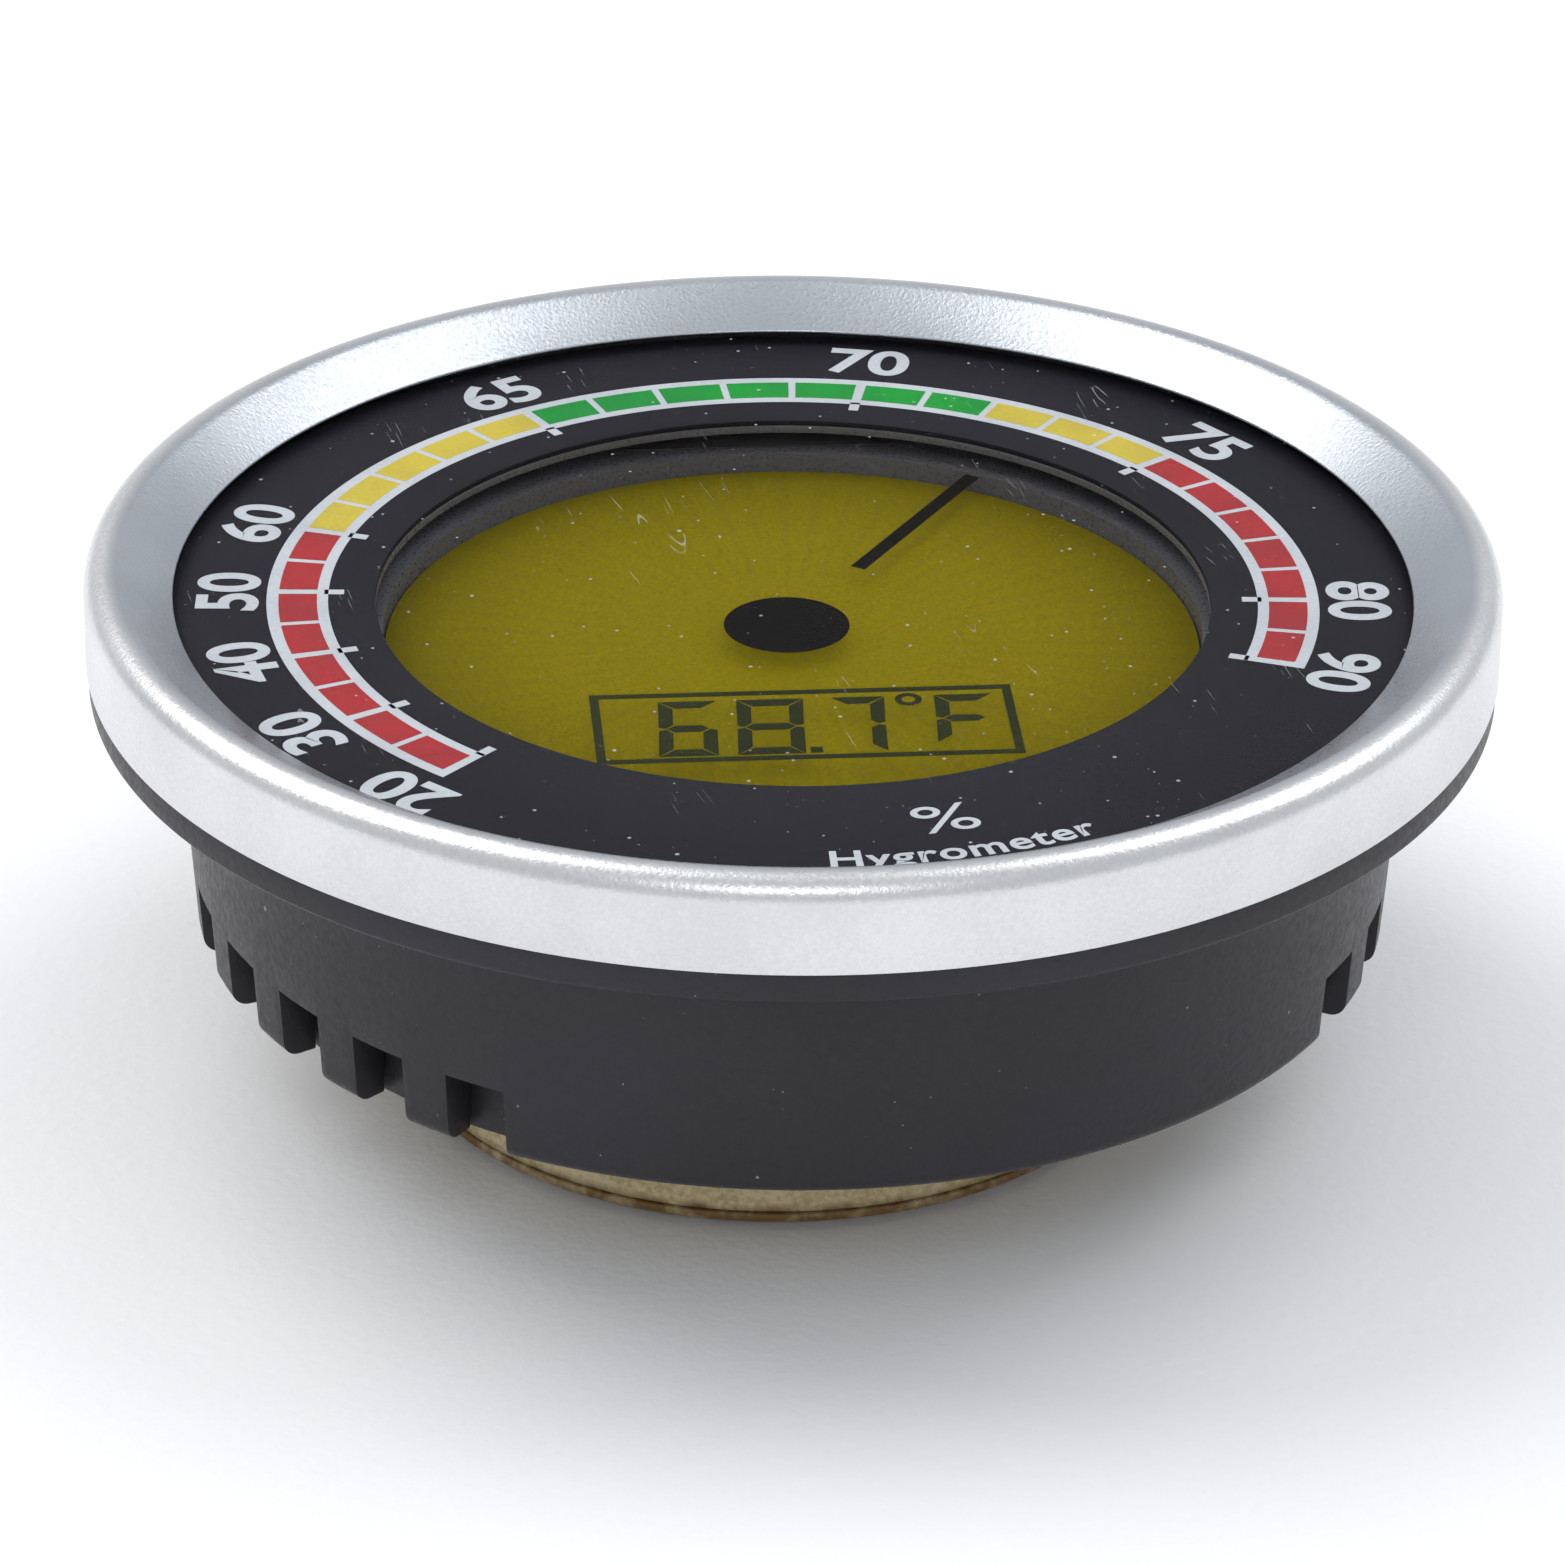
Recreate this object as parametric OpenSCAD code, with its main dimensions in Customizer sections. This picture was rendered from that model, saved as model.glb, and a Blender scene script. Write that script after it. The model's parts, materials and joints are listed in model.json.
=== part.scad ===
// Round panel hygrometer with a printed scale, a liquid crystal display and a magnetic base.
// Z = 0 is the face it stands on, +Z goes out through the lens, +Y points to 12 o'clock of the scale.

/* [Face] */
// Outer diameter of the metal bezel
face_d = 69.85; // [64:0.05:76]
// Height of the bezel from its lower edge to its crown
bezel_h = 4.78; // [4.4:0.01:6]
// Radius of the bezel's outer shoulder
shoulder_r = 1.25; // [0.8:0.05:1.5]
// Diameter of the bezel's inner lip
lip_d = 61.12; // [58:0.02:61.6]
// How far the inner lip lies below the crown
lip_drop = 1.74; // [1.2:0.01:1.9]
// Diameter of the window in the scale
window_d = 41.26; // [36:0.02:42]

/* [Housing] */
// Diameter of the spigot that goes into the panel hole
spigot_d = 60.32; // [58:0.02:61]
// Diameter of the black flange under the bezel
flange_d = 69.6; // [63.5:0.05:69.8]
// Thickness of that flange
flange_t = 1.68; // [1.2:0.01:2]
// Depth of the housing below the bezel's lower edge
housing_depth = 14.65; // [13.8:0.05:16]
// Outer diameter at the lower rim, just above its rounded edge
rim_d = 59.6; // [59:0.1:60]
// Radius of the rounded lower edge
rim_round = 0.85; // [0.4:0.05:1]
// Inner diameter of the skirt
skirt_id = 56; // [55.9:0.05:56.3]

/* [Vents] */
// Notches in the lower rim on each side
vent_count = 9; // [3:1:11]
// Angle from one notch to the next
vent_pitch = 11.15; // [10:0.05:12]
// Angle that a notch takes up
vent_width = 6.2; // [4:0.1:8]
// Height of a notch
vent_h = 3.8; // [2:0.1:4]
// Angle from 6 o'clock to the middle of each group
vent_middle = 91; // [85:0.5:95]

/* [Works] */
// How far the display, board and rear cover sit turned clockwise from the scale
works_turn = 12; // [0:0.5:15]
// Distance from the axis to the buttons
button_reach = 22.7; // [22:0.1:23]
// Angle from one button to the next
button_pitch = 21; // [18:1:24]
// How far a button moves when it is pressed
button_travel = 0.45; // [0.3:0.05:0.5]
// Angle that the battery door turns to come free
door_turn = 40; // [30:1:60]

/* [Base] */
// Diameter of the steel plate and of the magnet cup
plate_d = 37.8; // [34:0.1:40]
// Thickness of the steel plate
plate_t = 0.5; // [0.4:0.1:0.8]
// Thickness of the adhesive pad under the plate
pad_t = 0.3; // [0.2:0.05:0.5]
// Height of the magnet cup
cup_h = 4.8; // [4.4:0.05:4.9]
// How far the magnet was stuck on off the axis, to the left
magnet_left = 0.79; // [0:0.01:1.5]
// How far it was stuck on off the axis, to the back
magnet_back = 0.24; // [-1:0.01:1]

/* [Hidden] */
$fn = 96;
gap = 0.05;
cut = 1;
overlap = 0.1;

// Levels from the floor up
plate_z = pad_t;
cup_z = plate_z + plate_t + gap;
foam_z = cup_z + cup_h;
foam_t = 0.8;
foam_r = 14.5;
cup_wall = 1.4;
door_z = foam_z + foam_t;
door_t = 1.7;
rim_z = door_z + door_t + gap;
floor_t = 1.5;
well_z = rim_z + floor_t;
bezel_z = rim_z + housing_depth;
flange_z = bezel_z - flange_t;

face_r = face_d / 2;
crown_z = bezel_z + bezel_h;
lip_r = lip_d / 2;
lip_z = crown_z - lip_drop;
spigot_r = spigot_d / 2;
flange_r = flange_d / 2;
rim_r = rim_d / 2;
skirt_r = skirt_id / 2;
window_r = window_d / 2;
collar_r = 33.8;
pocket_r = 31.55;
pocket_z = bezel_z - 0.35;
collar_z = lip_z - 0.39;
taper_h = 6;

// Lens, scale and display
lens_r = 31.4;
lens_z = lip_z - 0.66;
lens_t = 0.52;
dial_z = lens_z - 0.35;
dial_t = 0.3;
frame_z = dial_z - 0.4;
glass_t = 0.96;
front_glass_z = frame_z - glass_t - 0.02;
rear_glass_z = front_glass_z - glass_t - 0.04;
reflector_t = 0.22;
reflector_z = rear_glass_z - reflector_t - 0.03;
viewing_r = 20.3;
rear_glass_r = 20.2;
glass_w = 41.4;
glass_l = 46.4;
glass_corner_r = 29.6;
zebra_y = 21.9;
zebra_w = 1.6;
zebra_l = 28;

// Board and its fixings
board_t = 1.6;
board_r = 27;
board_z = bezel_z - 3.05;
board_top = board_z + board_t;
holder_top = front_glass_z - 0.03;
board_screw_reach = 24.8;
board_screw_angles = [22, 158, 202, 338];
cover_screw_reach = 24.6;
cover_screw_angles = [45, 135, 225, 315];
boss_z = rim_z + 4.5;
boss_top = board_z - 0.5;
boss_r = 2.4;
tower_r = 3.1;
counterbore_h = 2.5;

// Rear cover, battery and door
cover_r = skirt_r - 0.15;
cover_wall = 1.4;
cover_wall_h = 4.35;
well_r = 13.4;
well_wall = 1.2;
roof_z = well_z + 4.35;
roof_t = 1;
mouth_r = 11.65;
plug_r = 11.5;
lug_r = 12.9;
lug_angle = 24;
door_r = 16;
cell_z = well_z + 0.55;
cell_r = 10;
cell_can_h = 2.7;
cell_h = 3.2;
leaf_t = 0.3;
positive_x = cell_r + 0.15;
positive_w = 4;
negative_x = -6.15;
negative_w = 3;
seal_r = 13.5;
vent_grid_y = 22.2;

// Buttons and switches
button_angles = [-90 - button_pitch, -90, -90 + button_pitch];
button_r = 1.55;
button_proud = 0.35;
switch_size = 4.5;
switch_h = 1.7;
plunger_h = 0.8;
plunger_r = 1;
plunger_out = 0.4;
switch_z = board_z - switch_h;

function arc(x, y, r, from, to, steps) = [
    for (i = [0:steps])
        let (a = from + (to - from) * i / steps)
        [x + r * cos(a), y + r * sin(a)]
];

// A plain disc or ring between two levels
module disc(r, z, h) {
    translate([0, 0, z]) cylinder(r = r, h = h);
}

module ring(outer, inner, z, h) {
    difference() {
        disc(outer, z, h);
        disc(inner, z - cut, h + 2 * cut);
    }
}

// Everything behind the scale shares the same turn
module works() {
    rotate([0, 0, -works_turn]) children();
}

// The magnet and its plate sit a little off the axis
module stuck_on() {
    translate([-magnet_left, magnet_back, 0]) children();
}

module polar(angle, reach) {
    rotate([0, 0, angle]) translate([reach, 0, 0]) children();
}

// A wedge of the given angle, centred on the X axis
module wedge(angle, reach, z, h) {
    bow = 1.05;
    x = reach * cos(angle / 2);
    y = reach * sin(angle / 2);
    translate([0, 0, z]) linear_extrude(h) polygon([[0, 0], [x, -y], [reach * bow, 0], [x, y]]);
}

module bezel() {
    steps = 8;
    mid_r = face_r - shoulder_r;
    mid_z = crown_z - shoulder_r;
    run = mid_r - lip_r;
    rise = mid_z - lip_z;
    slope = atan2(rise, run) + asin(shoulder_r / norm([run, rise]));
    color("silver") rotate_extrude() polygon(concat(
        [[face_r, bezel_z]],
        arc(mid_r, mid_z, shoulder_r, 0, 90 + slope, steps),
        [
            [lip_r, lip_z],
            [lip_r, lens_z + lens_t],
            [pocket_r, lens_z + lens_t],
            [pocket_r, collar_z],
            [collar_r + gap, collar_z],
            [collar_r + gap, bezel_z]
        ]
    ));
}

module lens() {
    color([0.9, 0.95, 0.98, 0.3]) disc(lens_r, lens_z, lens_t);
}

module dial_ring() {
    color([0.12, 0.12, 0.14]) ring(lens_r, window_r, dial_z, dial_t);
}

// The ring that carries the scale and clamps the display's front glass
module lcd_frame() {
    skirt_wall = 1.2;
    color([0.2, 0.2, 0.22]) {
        ring(lens_r, window_r, frame_z, dial_z - frame_z);
        ring(lens_r, lens_r - skirt_wall, holder_top, frame_z - holder_top + overlap);
    }
}

module lcd_front_glass() {
    color([0.8, 0.85, 0.8, 0.4]) works() intersection() {
        translate([-glass_w / 2, -glass_l / 2, front_glass_z]) cube([glass_w, glass_l, glass_t]);
        disc(glass_corner_r, front_glass_z - cut, glass_t + 2 * cut);
    }
}

module lcd_rear_glass() {
    color([0.8, 0.85, 0.8, 0.4]) works() disc(rear_glass_r, rear_glass_z, glass_t);
}

module lcd_reflector() {
    color([0.5, 0.45, 0.05]) works() disc(rear_glass_r, reflector_z, reflector_t);
}

// Dark moulding around the rear glass, seated on the ledge in the housing
module lcd_holder() {
    side_gap = 0.3;
    rim_gap = 0.1;
    slot_gap = [0.2, 0.1];
    bore_h = 4;
    screw_hole_r = 0.85;
    screw_hole_h = 1.6;
    color([0.2, 0.2, 0.22]) works() difference() {
        union() {
            disc(skirt_r - side_gap, board_top, pocket_z - board_top + overlap);
            disc(lens_r - rim_gap, pocket_z, holder_top - pocket_z);
        }
        disc(viewing_r, board_top - cut, bore_h);
        for (side = [-1, 1])
            translate([0, side * zebra_y, board_top - cut])
                translate([-zebra_l / 2 - slot_gap.x, -zebra_w / 2 - slot_gap.y, 0])
                    cube([zebra_l + 2 * slot_gap.x, zebra_w + 2 * slot_gap.y, bore_h]);
        for (a = board_screw_angles)
            polar(a, board_screw_reach) disc(screw_hole_r, board_top - cut, cut + screw_hole_h);
    }
}

// Two rubber connectors between the board and the front glass
module zebra_strips() {
    color("hotpink") works() for (side = [-1, 1])
        translate([-zebra_l / 2, side * zebra_y - zebra_w / 2, board_top])
            cube([zebra_l, zebra_w, front_glass_z - board_top]);
}

module main_board() {
    hole_r = 1;
    color("darkgreen") works() difference() {
        disc(board_r, board_z, board_t);
        for (a = board_screw_angles)
            polar(a, board_screw_reach) disc(hole_r, board_z - cut, board_t + 2 * cut);
    }
}

// Epoxy drop over the controller, hanging under the board
module controller_chip() {
    place = [-11, 12];
    drop_r = 4.2;
    drop_h = 1.5;
    ball_r = (drop_r * drop_r + drop_h * drop_h) / (2 * drop_h);
    color([0.08, 0.08, 0.08]) works() translate([place.x, place.y, board_z]) intersection() {
        translate([0, 0, ball_r - drop_h]) sphere(r = ball_r);
        disc(drop_r, -drop_h - cut, drop_h + cut);
    }
}

module crystal() {
    place = [9, 13];
    can_r = 1;
    can_l = 6;
    base_r = 0.9;
    base_t = 0.3;
    color("silver") works() translate([place.x, place.y, board_z - can_r]) rotate([0, 90, 0]) {
        cylinder(r = can_r, h = can_l);
        translate([0, 0, -base_t]) cylinder(r = base_r, h = base_t + overlap);
    }
}

module humidity_sensor() {
    body = 3;
    body_h = 1.1;
    hole_r = 0.6;
    hole_depth = 0.4;
    color([0.85, 0.85, 0.82]) works() translate([0, vent_grid_y, board_z - body_h]) difference() {
        translate([-body / 2, -body / 2, 0]) cube([body, body, body_h]);
        disc(hole_r, -cut, cut + hole_depth);
    }
}

module thermistor() {
    place = [6, vent_grid_y - 0.5];
    bead_r = 0.8;
    lead_x = 0.4;
    lead_r = 0.15;
    lead_l = 2.4;
    color([0.1, 0.1, 0.1]) works() translate([place.x, place.y, board_z - lead_l]) {
        sphere(r = bead_r);
        for (side = [-1, 1])
            translate([side * lead_x, 0, 0]) cylinder(r = lead_r, h = lead_l);
    }
}

// A row of small chips hanging under the board
module chip_row(count, pitch, first, size) {
    for (i = [0:count - 1])
        translate([first.x + i * pitch, first.y, board_z - size.z]) cube(size);
}

module capacitors() {
    color([0.7, 0.6, 0.45]) works()
        chip_row(count = 5, pitch = 3.2, first = [-14, -13], size = [2, 1.25, 1]);
}

module resistors() {
    color([0.1, 0.1, 0.12]) works()
        chip_row(count = 6, pitch = 2.6, first = [-4, 16.5], size = [1.6, 0.8, 0.45]);
}

// Three push switches under the board, each open for its plunger
module tact_switches() {
    opening_r = 1.15;
    opening_h = plunger_h - plunger_out + button_travel + 0.15;
    color([0.75, 0.75, 0.75]) works() for (a = button_angles)
        polar(a, button_reach) difference() {
            translate([-switch_size / 2, -switch_size / 2, switch_z])
                cube([switch_size, switch_size, switch_h]);
            disc(opening_r, switch_z - cut, cut + opening_h);
        }
}

// Self-tapping screw pointing up, its head's seat at z
module screw(head_r, head_h, shank_r, z, length) {
    slot_reach = head_r * 0.6;
    slot_w = 0.3;
    slot_depth = 0.4;
    difference() {
        disc(head_r, z - head_h, head_h);
        for (turn = [0, 90]) rotate([0, 0, turn])
            translate([-slot_reach, -slot_w / 2, z - head_h - cut])
                cube([2 * slot_reach, slot_w, cut + slot_depth]);
    }
    disc(shank_r, z, length);
}

module board_screws() {
    color("silver") works() for (a = board_screw_angles)
        polar(a, board_screw_reach)
            screw(head_r = 1.6, head_h = 0.9, shank_r = 0.8, z = board_z, length = 3);
}

module cover_screws() {
    color("silver") works() for (a = cover_screw_angles)
        polar(a, cover_screw_reach)
            screw(head_r = 1.9, head_h = 1.2, shank_r = 0.95, z = rim_z + counterbore_h, length = 6.5);
}

// Front shell: flange, spigot and notched skirt, with four bosses inside
module housing() {
    steps = 5;
    corner = 0.2;
    boss_h = boss_top - boss_z;
    rib_l = skirt_r + 0.6 - cover_screw_reach;
    rib_w = 2;
    pilot_r = 1;
    pilot_depth = 5.5;
    vent_reach = spigot_r + 2;
    color([0.16, 0.15, 0.17]) difference() {
        union() {
            rotate_extrude() polygon(concat(
                [[skirt_r, rim_z]],
                arc(rim_r - rim_round, rim_z + rim_round, rim_round, -90, 0, steps),
                [
                    [spigot_r, rim_z + taper_h],
                    [spigot_r, flange_z],
                    [flange_r - corner, flange_z],
                    [flange_r, flange_z + corner],
                    [flange_r, bezel_z],
                    [collar_r, bezel_z],
                    [collar_r, collar_z],
                    [pocket_r, collar_z],
                    [pocket_r, pocket_z],
                    [skirt_r, pocket_z]
                ]
            ));
            works() for (a = cover_screw_angles) polar(a, cover_screw_reach) {
                disc(boss_r, boss_z, boss_h);
                translate([0, -rib_w / 2, boss_z]) cube([rib_l, rib_w, boss_h]);
            }
        }
        works() for (a = cover_screw_angles)
            polar(a, cover_screw_reach) disc(pilot_r, boss_z - cut, cut + pilot_depth);
        for (side = [-1, 1]) for (i = [0:vent_count - 1])
            rotate([0, 0, -90 + side * (vent_middle + (i - (vent_count - 1) / 2) * vent_pitch)])
                wedge(vent_width, vent_reach, rim_z - cut, vent_h + cut);
    }
}

// Holes through the rear cover's floor: door mouth, screws, buttons and air
module cover_openings() {
    below_z = rim_z - cut;
    through_h = floor_t + 2 * cut;
    mouth_h = cut + floor_t + 0.01;
    lug_play = 3;
    lug_gap = 0.2;
    counterbore_r = 2.1;
    screw_hole_r = 1.1;
    button_gap = 0.2;
    air_hole_r = 0.8;
    air_hole_reach = 2.4;
    air_holes = 6;
    disc(mouth_r, below_z, mouth_h);
    for (turn = [0, 180]) rotate([0, 0, turn - door_turn]) intersection() {
        wedge(lug_angle + lug_play, lug_r + 2 * cut, below_z, mouth_h);
        disc(lug_r + lug_gap, below_z, through_h);
    }
    for (a = cover_screw_angles) polar(a, cover_screw_reach) {
        disc(counterbore_r, below_z, cut + counterbore_h);
        disc(screw_hole_r, rim_z, boss_z - rim_z + cut);
    }
    for (a = button_angles)
        polar(a, button_reach) disc(button_r + button_gap, below_z, through_h);
    translate([0, vent_grid_y, 0]) {
        disc(air_hole_r, below_z, through_h);
        for (i = [0:air_holes - 1])
            polar(i * 360 / air_holes, air_hole_reach) disc(air_hole_r, below_z, through_h);
    }
}

// Slot through the well's roof for one contact's leaf
module contact_slot(leaf_x, leaf_w) {
    slot_w = 0.6;
    side_gap = 0.2;
    spare = 0.5;
    translate([leaf_x + (leaf_t - slot_w) / 2, -leaf_w / 2 - side_gap, roof_z - spare])
        cube([slot_w, leaf_w + 2 * side_gap, roof_t + 2 * spare]);
}

// Rear cover: floor, low wall behind the notches, screw towers and the battery well
module rear_cover() {
    ribs = 6;
    rib_w = 1;
    rib_gap = 0.2;
    rib_z = well_z + 1.15;
    rib_top = roof_z + 0.15;
    color([0.14, 0.13, 0.15]) works() difference() {
        union() {
            disc(cover_r, rim_z, floor_t);
            ring(cover_r, cover_r - cover_wall, rim_z, cover_wall_h);
            for (a = cover_screw_angles)
                polar(a, cover_screw_reach) disc(tower_r, rim_z, boss_z - rim_z);
            difference() {
                disc(well_r + well_wall, rim_z, roof_z + roof_t - rim_z);
                disc(well_r, well_z, roof_z - well_z);
            }
            for (i = [0:ribs - 1]) rotate([0, 0, (i + 0.5) * 360 / ribs])
                translate([cell_r + rib_gap, -rib_w / 2, rib_z])
                    cube([well_r - cell_r, rib_w, rib_top - rib_z]);
        }
        cover_openings();
        contact_slot(positive_x, positive_w);
        contact_slot(negative_x, negative_w);
    }
}

module sensor_filter() {
    filter_r = 3.8;
    filter_t = 0.3;
    color("white") works() translate([0, vent_grid_y, 0]) disc(filter_r, well_z, filter_t);
}

// Coin cell, its can facing the door
module battery() {
    cap_inset = 1.4;
    color("silver") works() {
        disc(cell_r, cell_z, cell_can_h);
        disc(cell_r - cap_inset, cell_z + cell_can_h - overlap, cell_h - cell_can_h + overlap);
    }
}

module positive_contact() {
    leaf_z = cell_z + 0.7;
    dimple = [0.3, 2, 1];
    dimple_z = cell_z + 1.2;
    color("gold") works() {
        translate([positive_x, -positive_w / 2, leaf_z])
            cube([leaf_t, positive_w, board_z - leaf_z]);
        translate([cell_r, -dimple.y / 2, dimple_z]) cube(dimple);
    }
}

module negative_contact() {
    cap_z = cell_z + cell_h;
    leaf_z = roof_z - 0.3;
    leaf_l = 6;
    flat_t = 0.25;
    pad_r = 3;
    tip_r = 1.2;
    tip_top = roof_z - 0.1;
    color("gold") works() {
        disc(pad_r, leaf_z, flat_t);
        disc(tip_r, cap_z, tip_top - cap_z);
        translate([negative_x, -negative_w / 2, leaf_z]) {
            cube([leaf_l, negative_w, flat_t]);
            cube([leaf_t, negative_w, board_z - leaf_z]);
        }
    }
}

// Bayonet door: grip rim outside, plug in the mouth, two lugs behind the cover's floor
module battery_door() {
    grips = 20;
    grip_r = 0.8;
    grip_reach = door_r + 0.35;
    groove_side = 0.6;
    groove_depth = 1;
    door_top = door_z + door_t;
    plug_top = cell_z - gap;
    lug_z = well_z + 0.06;
    lug_inner_r = plug_r - 2;
    color([0.14, 0.13, 0.15]) works() {
        difference() {
            disc(door_r, door_z, door_t);
            ring(seal_r + groove_side, seal_r - groove_side, door_top - groove_depth, groove_depth + cut);
            for (i = [0:grips - 1])
                polar(i * 360 / grips, grip_reach) disc(grip_r, door_z - cut, door_t + 2 * cut);
        }
        disc(plug_r, door_top - overlap, plug_top - door_top + overlap);
        for (turn = [0, 180]) rotate([0, 0, turn]) intersection() {
            ring(lug_r, lug_inner_r, lug_z, plug_top - lug_z);
            wedge(lug_angle, lug_r + 2 * cut, well_z, 2 * cut);
        }
    }
}

module door_seal() {
    cord_r = 0.48;
    cord_steps = 24;
    color([0.05, 0.05, 0.05]) rotate_extrude()
        translate([seal_r, door_z + door_t - cord_r]) circle(r = cord_r, $fn = cord_steps);
}

module magnet_foam() {
    color("white") stuck_on() disc(foam_r, foam_z, foam_t);
}

// Pressed steel cup around the magnet, open downwards
module magnet_cup() {
    cup_r = plate_d / 2;
    corner = 0.5;
    lower_edge = 0.3;
    color([0.72, 0.66, 0.5]) stuck_on() rotate_extrude() polygon([
        [0, foam_z],
        [cup_r - corner, foam_z],
        [cup_r, foam_z - corner],
        [cup_r, cup_z + lower_edge],
        [cup_r - lower_edge, cup_z],
        [cup_r - cup_wall, cup_z],
        [cup_r - cup_wall, foam_z - cup_wall],
        [0, foam_z - cup_wall]
    ]);
}

module magnet() {
    side_gap = 0.5;
    recess = 0.1;
    color([0.25, 0.25, 0.25]) stuck_on()
        disc(plate_d / 2 - cup_wall - side_gap, cup_z + recess, cup_h - cup_wall - recess);
}

module mounting_plate() {
    plate_r = plate_d / 2;
    plate_top = plate_z + plate_t;
    edge = 0.2;
    bevel = 0.1;
    steps = 4;
    color([0.72, 0.66, 0.5]) stuck_on() rotate_extrude() polygon(concat(
        [[0, plate_z]],
        arc(plate_r - edge, plate_z + edge, edge, -90, 0, steps),
        [[plate_r, plate_top - bevel], [plate_r - bevel, plate_top], [0, plate_top]]
    ));
}

module plate_pad() {
    inset = 1.1;
    color([0.75, 0.8, 0.78]) stuck_on() disc(plate_d / 2 - inset, 0, pad_t);
}

// A push button, with its collar behind the cover's floor and a stem up to the switch
module button(angle) {
    stop_r = 2.3;
    stop_h = 0.75;
    stop_z = well_z + 0.1;
    stem_r = 1.1;
    stem_z = well_z + 0.8;
    works() polar(angle, button_reach) {
        disc(button_r, rim_z - button_proud, floor_t + button_proud + overlap);
        disc(stop_r, stop_z, stop_h);
        disc(stem_r, stem_z, switch_z - plunger_out - stem_z);
    }
}

module plunger(angle) {
    works() polar(angle, button_reach) disc(plunger_r, switch_z - plunger_out, plunger_h);
}

module up_button() {
    color("gray") button(button_angles[0]);
}

module down_button() {
    color("gray") button(button_angles[1]);
}

module unit_button() {
    color("gray") button(button_angles[2]);
}

module up_plunger() {
    color("black") plunger(button_angles[0]);
}

module down_plunger() {
    color("black") plunger(button_angles[1]);
}

module unit_plunger() {
    color("black") plunger(button_angles[2]);
}

bezel();
lens();
dial_ring();
lcd_frame();
lcd_front_glass();
lcd_rear_glass();
lcd_reflector();
lcd_holder();
zebra_strips();
main_board();
controller_chip();
crystal();
humidity_sensor();
thermistor();
capacitors();
resistors();
tact_switches();
board_screws();
housing();
rear_cover();
sensor_filter();
cover_screws();
battery();
positive_contact();
negative_contact();
battery_door();
door_seal();
magnet_foam();
magnet_cup();
magnet();
mounting_plate();
plate_pad();
up_button();
up_plunger();
down_button();
down_plunger();
unit_button();
unit_plunger();
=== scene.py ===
# Panel hygrometer: satin bezel, printed scale, liquid crystal window, notched black housing, magnetic disc
import json
import math
import bpy
import bmesh
from mathutils import Matrix, Vector

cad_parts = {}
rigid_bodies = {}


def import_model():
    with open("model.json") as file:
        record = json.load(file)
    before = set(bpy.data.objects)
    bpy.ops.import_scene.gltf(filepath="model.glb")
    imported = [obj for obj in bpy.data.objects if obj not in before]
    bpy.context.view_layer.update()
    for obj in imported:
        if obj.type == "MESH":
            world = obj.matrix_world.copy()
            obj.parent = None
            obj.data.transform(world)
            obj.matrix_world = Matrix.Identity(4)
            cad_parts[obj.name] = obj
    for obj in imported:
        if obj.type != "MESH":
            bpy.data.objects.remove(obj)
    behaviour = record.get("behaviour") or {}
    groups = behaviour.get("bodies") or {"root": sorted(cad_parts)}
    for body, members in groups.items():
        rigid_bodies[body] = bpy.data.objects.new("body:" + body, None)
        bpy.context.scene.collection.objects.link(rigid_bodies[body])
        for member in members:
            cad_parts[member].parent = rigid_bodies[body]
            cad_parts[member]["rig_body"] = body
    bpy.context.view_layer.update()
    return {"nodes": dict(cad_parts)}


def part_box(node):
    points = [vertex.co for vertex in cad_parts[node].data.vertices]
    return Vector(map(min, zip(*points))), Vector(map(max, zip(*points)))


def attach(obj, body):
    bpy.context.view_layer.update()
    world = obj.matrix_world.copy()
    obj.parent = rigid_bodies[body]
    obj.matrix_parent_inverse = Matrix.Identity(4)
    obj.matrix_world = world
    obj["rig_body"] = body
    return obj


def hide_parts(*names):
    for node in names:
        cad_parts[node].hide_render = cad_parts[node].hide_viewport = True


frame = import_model()

mm = 0.001
scene = bpy.context.scene
bezelLow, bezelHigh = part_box("bezel")
faceRadius = max(bezelHigh.x, bezelHigh.y)
faceMm = faceRadius / mm
bezelFoot = bezelLow.z / mm
crownTop = bezelHigh.z / mm
worksTurn = math.radians(-12)  # display, board and rear cover sit a little clockwise of the scale


def spanOf(node):
    # lowest and highest level of a node, in millimetres
    low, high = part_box(node)
    return low.z / mm, high.z / mm


def radiusOf(node):
    low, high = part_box(node)
    return max(high.x, high.y, -low.x, -low.y) / mm


# a long lens a little to the left of 6 o'clock, looking down on the face
cameraPlan = {
    "azimuth": -16.9,
    "elevation": 26.19,
    "distance": 10.37,  # in face radii
    "lens": 168,
    "sensor": 36,
    "roll": 0.62,
    "aimRight": -0.012,
    "aimUp": -0.208,
    "nearest": 0.01,
    "farthest": 20,
}


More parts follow.
